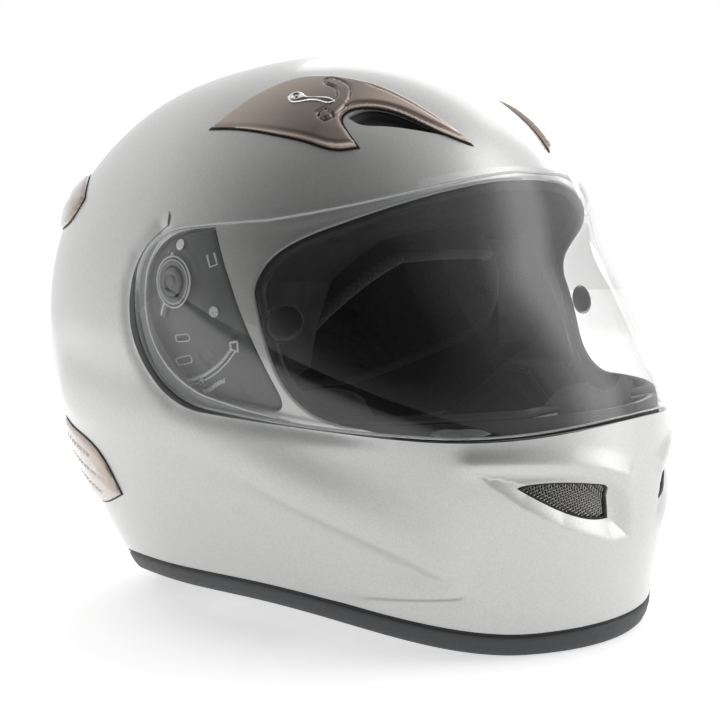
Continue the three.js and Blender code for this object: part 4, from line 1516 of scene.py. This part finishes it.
def lever_height(flat, distance):
    """The slider's rounded top, with a ring round its eye and a fine rib along its stem."""
    ring = np.hypot(flat[:, 0] + 9.2, flat[:, 1] + 0.8)
    height = 3.4 + 0.8 * np.sqrt(np.clip(distance / 1.3, 0, 1)) - 0.8 * bell(ring - 1.2, 0.5)
    return height + 0.15 * smooth((1.1 - np.abs(flat[:, 1] + 2.2)) / 0.4) * smooth((flat[:, 0] + 5) / 2)


def build_fins():
    fin = patch("fin", fin_outline(), FIN, moulded_field, fin_height, 0.35, 0.75, angle=50)
    place_pair(fin, "top_fin", BRONZE, "helmet", "bronze_paint", "top_vent")
    seat = patch("fin_seat", shifted(fin_outline(), 0.9), FIN, moulded_field, 0.32, -0.3, 1.6, angle=50)
    place_pair(seat, "fin_seat", SEAL_RUBBER, "helmet", "black_rubber")
    duct = patch(
        "duct", shifted(mouth_outline(), -0.3), FIN, shell_field,
        lambda p, d: -1.2 - 2.2 * smooth(d / 3), -4.3, angle=50,
    )
    place_pair(duct, "top_duct_mouth", PIN_BLACK, "helmet", "black_plastic", "top_duct")
    outline = through(
        [(-13.2, -0.6), (-11.6, -3.4), (-8, -3.9), (-4.5, -3.1), (1, -3.6), (5.6, -4.6), (7.8, -3.4)],
        [(7.8, -3.4), (5.6, -1.9), (0, -1.2), (-5, -0.4), (-7.4, 2.0), (-11, 2.2), (-13.2, -0.6)],
    )
    lever = patch("lever", outline, FIN, shell_field, lever_height, 2.2, 0.45, angle=50)
    bodies = ("vent_lever_right", "vent_lever_left")
    place_pair(lever, "vent_lever_chrome", CHROME, bodies, "chrome", "vent_lever")


def grille_wires(inner, angle, phase, spacing=1.05, radius=0.24):
    """Wavy wires side by side at an angle, each cut where it leaves an outline."""
    along, across = flat_axes(math.radians(angle))
    wires = []
    for k in range(-22, 23):
        u = np.arange(-26, 26, spacing / 2)
        line = np.array([-40.0, 65.0]) + across * (k * spacing) + u[:, None] * along
        inside = np.where(edge_distance(line, inner) > 0)[0]
        for run in np.split(inside, np.where(np.diff(inside) > 1)[0] + 1):
            if len(run) < 4:
                continue
            laid = FRONT.on(line[run], moulded_field)
            lift = -1.55 + 0.22 * np.cos(math.pi * u[run] / spacing + phase + math.pi * k)
            laid = laid + gradient(moulded_field, laid) * lift[:, None]
            wires.append(bead("wire", laid, radius, closed=False, sides=4))
    return wires


def build_chin_grille():
    """Woven wire in the chin intake, with a rubber rim and a dark back."""
    outline = np.array(grille_outline())
    back = patch("grille_back", shifted(outline, -0.3), FRONT, moulded_field, -2.4, -3.3, 2.0)
    place_pair(back, "grille_back", PIN_BLACK, "helmet", "mesh_black", "chin_grille")
    path = FRONT.on(dense(shifted(outline, -0.55), 1.0), moulded_field)
    rim = bead("grille_rim", path - gradient(moulded_field, path) * 1.1, 0.75)
    place_pair(rim, "grille_rim", SEAL_RUBBER, "helmet", "mesh_black")
    inner = dense(shifted(outline, -0.9), 1.0)
    mesh = joined("grille_mesh", grille_wires(inner, 12, 0.0) + grille_wires(inner, 102, math.pi))
    shade(mesh, 80)
    place_pair(mesh, "grille_mesh", MESH_WIRE, "helmet", "mesh_black")


def scoop_height(flat, distance):
    """The upper outlet's crowned top with a slot along it."""
    height = 0.8 + 3.0 * np.sqrt(np.clip(distance / 9, 0, 1))
    slot = np.abs(flat[:, 1] - 204 - 0.02 * (flat[:, 0] - 110)) < 1.6
    return height - 1.8 * (slot & (flat[:, 0] > 92) & (flat[:, 0] < 136))


def blade_height(flat, distance):
    """The lower outlet's crowned top with slanting grooves."""
    height = 0.7 + 2.4 * np.sqrt(np.clip(distance / 7, 0, 1))
    groove = np.abs(((flat[:, 1] - 0.22 * flat[:, 0]) % 9.0) - 4.5) < 0.7
    return height - 0.8 * (groove & (distance > 5))


def build_rear_vents():
    upper = [(70, 202), (84, 212), (112, 217), (138, 212), (147, 201), (128, 193), (96, 190), (78, 194)]
    lower = [(37, 62), (46, 79), (79, 90), (110, 92), (130, 84), (124, 62), (98, 54), (60, 55)]
    vents = (
        ("rear_exhaust", "scoop", through(upper[:5], upper[4:] + upper[:1]), scoop_height, "bronze_paint"),
        ("rear_extractor", "blade", through(lower[:5], lower[4:6], lower[5:] + lower[:1]), blade_height,
         "smoked_vent"),
    )
    for node, shape, outline, height, slot in vents:
        vent = patch(node, outline, SIDE, shell_field, height, 0.3, 1.1, angle=45)
        place_pair(vent, f"{node}_{shape}", PALE_BRONZE, "helmet", slot, node)
        seat = patch("seat", shifted(outline, 0.8), SIDE, moulded_field, 0.35, -0.3, 2.0)
        place_pair(seat, f"{node}_seat", SEAL_RUBBER, "helmet", "black_rubber")


# ------------------------------------------------------------------ soft goods

CHEEK_SIDE = [(-89, 44), (-89, 93), (-74, 111), (-56, 114), (6, 71), (6, 20), (-20, 13), (-62, 16)]
LINER_SIDE = [(-210, 300), (-210, 186), (-70, 168), (-40, 132), (60, 98), (210, 88), (210, 300)]
LINER_OUTER = FOAM_INNER - 0.8
LINER_INNER = FOAM_INNER - 8.8
QUILT_STEP = 26.0


def loose_copy(node, name):
    """A loose copy of a solid, for a soft piece that starts from it."""
    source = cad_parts[node]
    mesh = source.data.copy()
    mesh.transform(source.matrix_world)
    return added(name, mesh)


def spread(obj, name):
    """One vector of each vertex, co or normal, as an array."""
    return column(obj.data.vertices, name)


def move_to(obj, points):
    obj.data.vertices.foreach_set("co", (points * MM).ravel())
    obj.data.update()


def swollen(node, name, voxel=0.005, shrink=1.8, cap=2.4):
    """A stuffed pad: a solid made a little smaller, then blown up as cloth."""
    pad = loose_copy(node, name)
    even = pad.modifiers.new("even", "REMESH")
    even.mode = "VOXEL"
    even.voxel_size = voxel
    settle(pad)
    start = spread(pad, "co") / MM - spread(pad, "normal") * shrink
    move_to(pad, start)
    stuffing = pad.modifiers.new("stuffing", "CLOTH")
    stuffing.settings.use_pressure = True
    stuffing.settings.uniform_pressure_force = 4
    stuffing.settings.effector_weights.gravity = 0
    for step in range(1, 21):
        bpy.context.scene.frame_set(step)
    settle(pad)
    swell = spread(pad, "co") / MM - start
    far = np.linalg.norm(swell, axis=1)
    move_to(pad, start + swell * (np.minimum(far, cap) / np.maximum(far, 1e-9))[:, None])
    bpy.context.scene.frame_set(1)
    finer = pad.modifiers.new("finer", "SUBSURF")
    finer.levels = 2
    finer.render_levels = 2
    settle(pad)
    shade(pad, 180)
    return pad


def sewn(pad, depth):
    """Pulls a pad in along its seams; depth gives how far, from the points and their normals."""
    points = spread(pad, "co") / MM
    normals = spread(pad, "normal")
    move_to(pad, points - normals * depth(points, normals)[:, None])


def reach_pad(pad, starts, direction):
    """Where rays first meet a pad, with the pad's normals there; rays that miss it are left out."""
    tree = BVHTree.FromPolygons([v.co for v in pad.data.vertices], [p.vertices for p in pad.data.polygons])
    hits = [tree.ray_cast(Vector(np.asarray(s) * MM), Vector(d)) for s, d in zip(starts, direction)]
    found = [(np.array(h[0]) / MM, np.array(h[1])) for h in hits if h[0] is not None]
    return np.array([f[0] for f in found]), np.array([f[1] for f in found])


def stitches(name, path, normals, length=2.2, gap=1.5, radius=0.22):
    """Short threads along a line."""
    steps = np.r_[0, np.cumsum(np.linalg.norm(np.diff(path, axis=0), axis=1))]
    threads = []
    for start in np.arange(0, steps[-1] - length, length + gap):
        t = np.linspace(start, start + length, 4)
        at = np.stack([np.interp(t, steps, path[:, i]) for i in range(3)], axis=1)
        up = np.stack([np.interp(t, steps, normals[:, i]) for i in range(3)], axis=1)
        lift = np.array([-0.1, 0.2, 0.2, -0.1])[:, None]
        threads.append(bead("thread", at + up * lift, radius, closed=False, sides=5, normals=up))
    return joined(name, threads)


def build_cheek_pads():
    outline = np.array(CHEEK_SIDE, float)
    pad = swollen("cheek_pad_right", "cheek_pad_soft")

    def depth(points, normals):
        inset = edge_distance(points[:, 1:], outline)
        facing = smooth((normals[:, 0] - 0.3) / 0.4)
        border = 2.4 * bell(inset - 15, 2.2)
        middle = gap_to(points[:, 1:], [(-72, 58), (-46, 66), (-18, 62), (-6, 56)])
        return facing * np.maximum(border, 1.8 * bell(middle, 2.2))

    sewn(pad, depth)
    place_pair(pad, "cheek_pad_soft", KNIT, "helmet", "lining_black", "cheek_pad")
    for name, inset, thick in (("cheek_piping", 5.0, 1.15), ("cheek_seam", 15.0, 0.22)):
        line = dense(shifted(CHEEK_SIDE, -inset), 2.0)
        starts = np.stack([np.full(len(line), -20.0), line[:, 0], line[:, 1]], axis=1)
        path, normals = reach_pad(pad, starts, [(-1, 0, 0)] * len(line))
        if thick > 1:
            piece = bead(name, path, thick, sides=8, normals=normals)
        else:
            piece = stitches(name, path, normals)
        place_pair(piece, name, PIPING, "helmet", "lining_black")


def build_neck_roll():
    pad = swollen("neck_roll", "neck_roll_soft")

    def depth(points, normals):
        turn = np.degrees(np.arctan2(points[:, 0], points[:, 1] - AXIS_Y))
        channel = np.abs((turn + 9) % 18 - 9) * 1.7
        inward = smooth(-((points - CORE)[:, :2] * normals[:, :2]).sum(axis=1) / 60)
        return 2.4 * bell(channel, 2.4) * inward

    sewn(pad, depth)
    place(pad, KNIT, "helmet", "lining_black", "neck_roll")
    turn = np.radians(np.linspace(-60, 60, 130))
    away = np.stack([np.sin(turn), np.cos(turn), np.zeros_like(turn)], axis=1)
    path, normals = reach_pad(pad, np.array([0, AXIS_Y, 21.0]) + away * 30, away)
    piping = bead("neck_piping", path, 1.1, closed=False, normals=normals)
    place(piping, PIPING, "helmet", "lining_black")


def liner_field(half):
    return lambda p: (np.linalg.norm((p - HEAD) / half, axis=1) - 1) * half.min()


def quilting(points):
    """Depth of the liner's sewn lines: two long seams and diamonds between them."""
    across = points[:, 0]
    along = np.degrees(np.arctan2(points[:, 2] - HEAD[2] + 30, points[:, 1] - HEAD[1])) * 1.9
    one_way, other_way = (
        bell((across * 1.15 + way * along) % QUILT_STEP - QUILT_STEP / 2, 1.9) for way in (1, -1)
    )
    return np.maximum(2.6 * bell(np.abs(across) - 30, 2.0), 1.9 * np.maximum(one_way, other_way))


def build_liner():
    directions, faces = closed_grid(300, 200)
    inner = HEAD + directions * LINER_INNER
    hollow = make("liner_hollow", inner + directions * quilting(inner)[:, None], faces)
    directions, faces = closed_grid(120, 80)
    liner = make("crown_liner_soft", HEAD + directions * LINER_OUTER, faces)
    combine(liner, hollow, "DIFFERENCE")
    combine(liner, prism("liner_cutter", dense(LINER_SIDE, 20), side_view, -160, 160), "INTERSECT")
    shade(liner, 50)
    place(liner, KNIT, "helmet", "lining_black", "crown_liner")
    middle = liner_field(FOAM_INNER - 4.8)
    line = dense([(-120, 174.5), (-70, 168), (-40, 132), (60, 98), (140, 93)], 2.0, closed=False)
    loop = resampled(both_sides(laid_on_side(line, middle, start=-60.0)), 420)
    roll = bead("liner_edge", loop, 3.7, sides=12, normals=gradient(middle, loop))
    place(roll, PIPING, "helmet", "lining_black")


def curtain_grid(across=61, deep=9):
    """Points of the web under the chin, from its free rear edge to the chin bar."""
    t = np.linspace(0.02, 0.98, across)
    bow = -98 * (1 - t) ** 2 - 300 * t * (1 - t) - 98 * t**2
    rear = np.stack([-80 + 160 * t, bow, np.full(across, 23.0)], axis=1)
    start = rear * np.array([1, 0, 1]) + np.array([0, -140.0, 0])
    front = land(start, FRONT.direction, lambda p: shell_field(p) + 9.0, 60.0)
    share = np.linspace(0, 1, deep)[:, None, None]
    grid = rear[None] * (1 - share) + front[None] * share
    down = share[:, :, 0]
    grid[:, :, 2] += 0.5 * np.sin(t * 40) * (1 - down) - 1.6 * np.sin(math.pi * down) * np.sin(math.pi * t)
    return grid


def build_curtain():
    """Cloth web under the chin: a shallow hanging crescent with an elastic hem."""
    grid = curtain_grid()
    half_thick = np.array([0, 0, 0.45])
    web = slab("chin_curtain_web", grid + half_thick, grid - half_thick)
    place(web, KNIT, "helmet", "lining_black", "chin_curtain")
    upright = np.tile([0, 0, 1.0], (len(grid[0]), 1))
    hem = bead("chin_curtain_hem", grid[0], 1.3, closed=False, normals=upright)
    place(hem, PIPING, "helmet", "lining_black")


def build_deflector():
    """Thin rubber nose guard that stands up from the chin bar."""
    outline = through(
        [(-42, 94.6), (-33, 107), (-14, 111)], [(-14, 111), (0, 106), (14, 111)],
        [(14, 111), (33, 107), (42, 94.6)], [(42, 94.6), (0, 94.6), (-42, 94.6)],
    )

    def half_thick(flat, distance):
        return 0.5 + 0.9 * smooth(1 - distance / 2.4)

    guard = patch(
        "nose_guard", outline, FRONT, lambda p: shell_field(p) + 16.5,
        half_thick, lambda p, d: -half_thick(p, d), 1.6, angle=50,
    )
    place(guard, SEAL_RUBBER, "helmet", "black_rubber", "breath_deflector")


# ------------------------------------------------------------------ retention strap

STRAP_Y = 23.0  # middle of the webbing's width
RING_BARS = [(-70.7, 31.0), (-65.7, 31.0)]  # x, z of the straight bars of the two D rings


def ribbon(name, line, width=20.0, thick=1.7):
    """Flat webbing along a line of x, z points, with soft selvedges."""
    line = polyline(line, 6 * len(line))
    normal = -aside(line)
    half, low = width / 2, thick / 2
    section = [
        (-half, 0), (-half + 0.5, low), (-half + 2.2, low * 0.8), (0, low),
        (half - 2.2, low * 0.8), (half - 0.5, low), (half, 0),
    ]
    section += [(y, -h) for y, h in reversed(section[1:-1])]
    points = [
        (x + nx * h, STRAP_Y + y, z + nz * h)
        for (x, z), (nx, nz) in zip(line, normal) for y, h in section
    ]
    rows, sides = len(line), len(section)
    return make(name, points, tube_faces(rows, sides) + flat_ends(rows, sides), 60)


def strap_seams(name, line, lift):
    """Rows of stitches across the webbing's width, on one of its faces."""
    line = polyline(line, 60)
    flat_normal = -aside(line)
    normal = np.stack([flat_normal[:, 0], np.zeros(len(line)), flat_normal[:, 1]], axis=1)
    seams = []
    for y in (-7.5, -2.5, 2.5, 7.5):
        path = np.stack([line[:, 0], np.full(len(line), STRAP_Y + y), line[:, 1]], axis=1)
        seams.append(stitches("seam", path + normal * lift, normal * np.sign(lift), 1.8, 1.1, 0.2))
    return joined(name, seams)


def turned(name, centre, axis, profile, count=28):
    """A round piece: the profile's radii and heights turned about an axis."""
    axis = np.array(axis, float) / np.linalg.norm(axis)
    side = np.cross(axis, [0, 1, 0])
    side /= np.linalg.norm(side)
    other = np.cross(axis, side)
    points = [
        np.array(centre) + axis * h + r * (side * math.cos(t) + other * math.sin(t))
        for r, h in profile for t in full_turn(count)
    ]
    rows = len(profile)
    return make(name, points, tube_faces(rows, count) + flat_ends(rows, count), 40)


def build_straps():
    """Two ends of webbing with rows of stitches, and the snap that holds the long one's tail."""
    short = [
        (-104.6, 59.2), (-95, 50), (-85, 40.3), (-75.5, 34.8), (-70, 34.7), (-64.5, 34.5), (-62.0, 31.0),
        (-64.5, 27.4), (-70, 27.3), (-73.6, 27.5), (-75.4, 31), (-77.5, 34.3), (-84.2, 38.4),
    ]
    long = [(104.4, 59.2), (84.4, 39.6), (70.5, 27.1), (52.5, 17.1), (46.8, 12.6)]
    place(ribbon("short_webbing", short, thick=1.5), WEBBING, "helmet", "webbing_black", "short_strap")
    place(ribbon("long_webbing", long), WEBBING, "helmet", "webbing_black", "long_strap")
    for name, line, lift in (
        ("long_webbing_seams", [(100, 54.8), (84.4, 39.6)], -0.95),
        ("short_webbing_seams", [(-96, 51), (-86, 41.3)], 0.9),
    ):
        place(strap_seams(name, line, lift), PIPING, "helmet", "webbing_black")
    snap = turned("snap_stud", (60.2, STRAP_Y, 24.8), (-0.515, 0, 0.857), [
        (5.9, -1.0), (6.0, -0.2), (5.6, 0.6), (4.4, 0.95), (3.4, 0.7), (1.2, 0.7), (0.1, 0.9),
    ])
    place(snap, DARK_PLASTIC, "helmet", "black_plastic", "strap_snap")


def build_rings():
    """Two steel D rings, each a half circle on a straight bar."""
    for node, (x, z) in zip(("d_ring_outer", "d_ring_inner"), RING_BARS):
        arc = np.linspace(math.pi, 2 * math.pi, 40)
        bow = [(STRAP_Y + 13 * math.cos(a), z - 8 + 13 * math.sin(a)) for a in arc]
        bar = [(STRAP_Y + y, z - down) for y, down in ((12.7, 1.2), (11.6, 0), (-11.6, 0), (-12.7, 1.2))]
        path = side_view(dense(bow + bar, 0.8), x)
        ring = bead(f"{node}_rod", path, 1.6, sides=14, normals=np.tile([1.0, 0, 0], (len(path), 1)))
        place(ring, STEEL, node, "steel", node)


def build_anchors():
    """Steel plates with two rivets each, where the strap ends meet the shell."""
    outline = through(
        [(9, 50), (9, 46), (13, 46)], [(13, 46), (33, 46)],
        [(33, 46), (37, 46), (37, 50)], [(37, 50), (37, 59)],
        [(37, 59), (37, 63), (33, 63)], [(33, 63), (13, 63)],
        [(13, 63), (9, 63), (9, 59)], [(9, 59), (9, 50)],
    )

    def inner_face(flat, distance):
        rivet = np.hypot(np.abs(flat[:, 0] - 23) - 8, flat[:, 1] - 54.5)
        return -1.0 + 0.4 * smooth(1 - distance / 0.8) - 0.9 * np.sqrt(np.clip(1 - (rivet / 3.2) ** 2, 0, 1))

    plate = patch("anchor", outline, SIDE, lambda p: shell_field(p) + 6.0, 0.9, inner_face, 0.9, angle=40)
    place_pair(plate, "anchor_plate", STEEL, "helmet", "steel", "strap_anchor")


add_camera()
add_stage()
build_shell()
build_trim()
build_gasket()
build_lower_lip()
build_visor()
build_wing_band()
build_lifting_tab()
build_visor_pins()
build_plates()
build_ratchet()
build_pegs()
build_hubs()
build_lock_rings()
build_fins()
build_chin_grille()
build_rear_vents()
build_cheek_pads()
build_neck_roll()
build_liner()
build_curtain()
build_deflector()
build_straps()
build_rings()
build_anchors()

PLAIN_NODES = {"crown_foam": FOAM, "chin_foam": FOAM}
PLAIN_NODES.update({f"plate_screw_{i}_{s}": STEEL for i in (1, 2, 3) for s in ("right", "left")})
for node, material in PLAIN_NODES.items():
    keep_node(node, material)
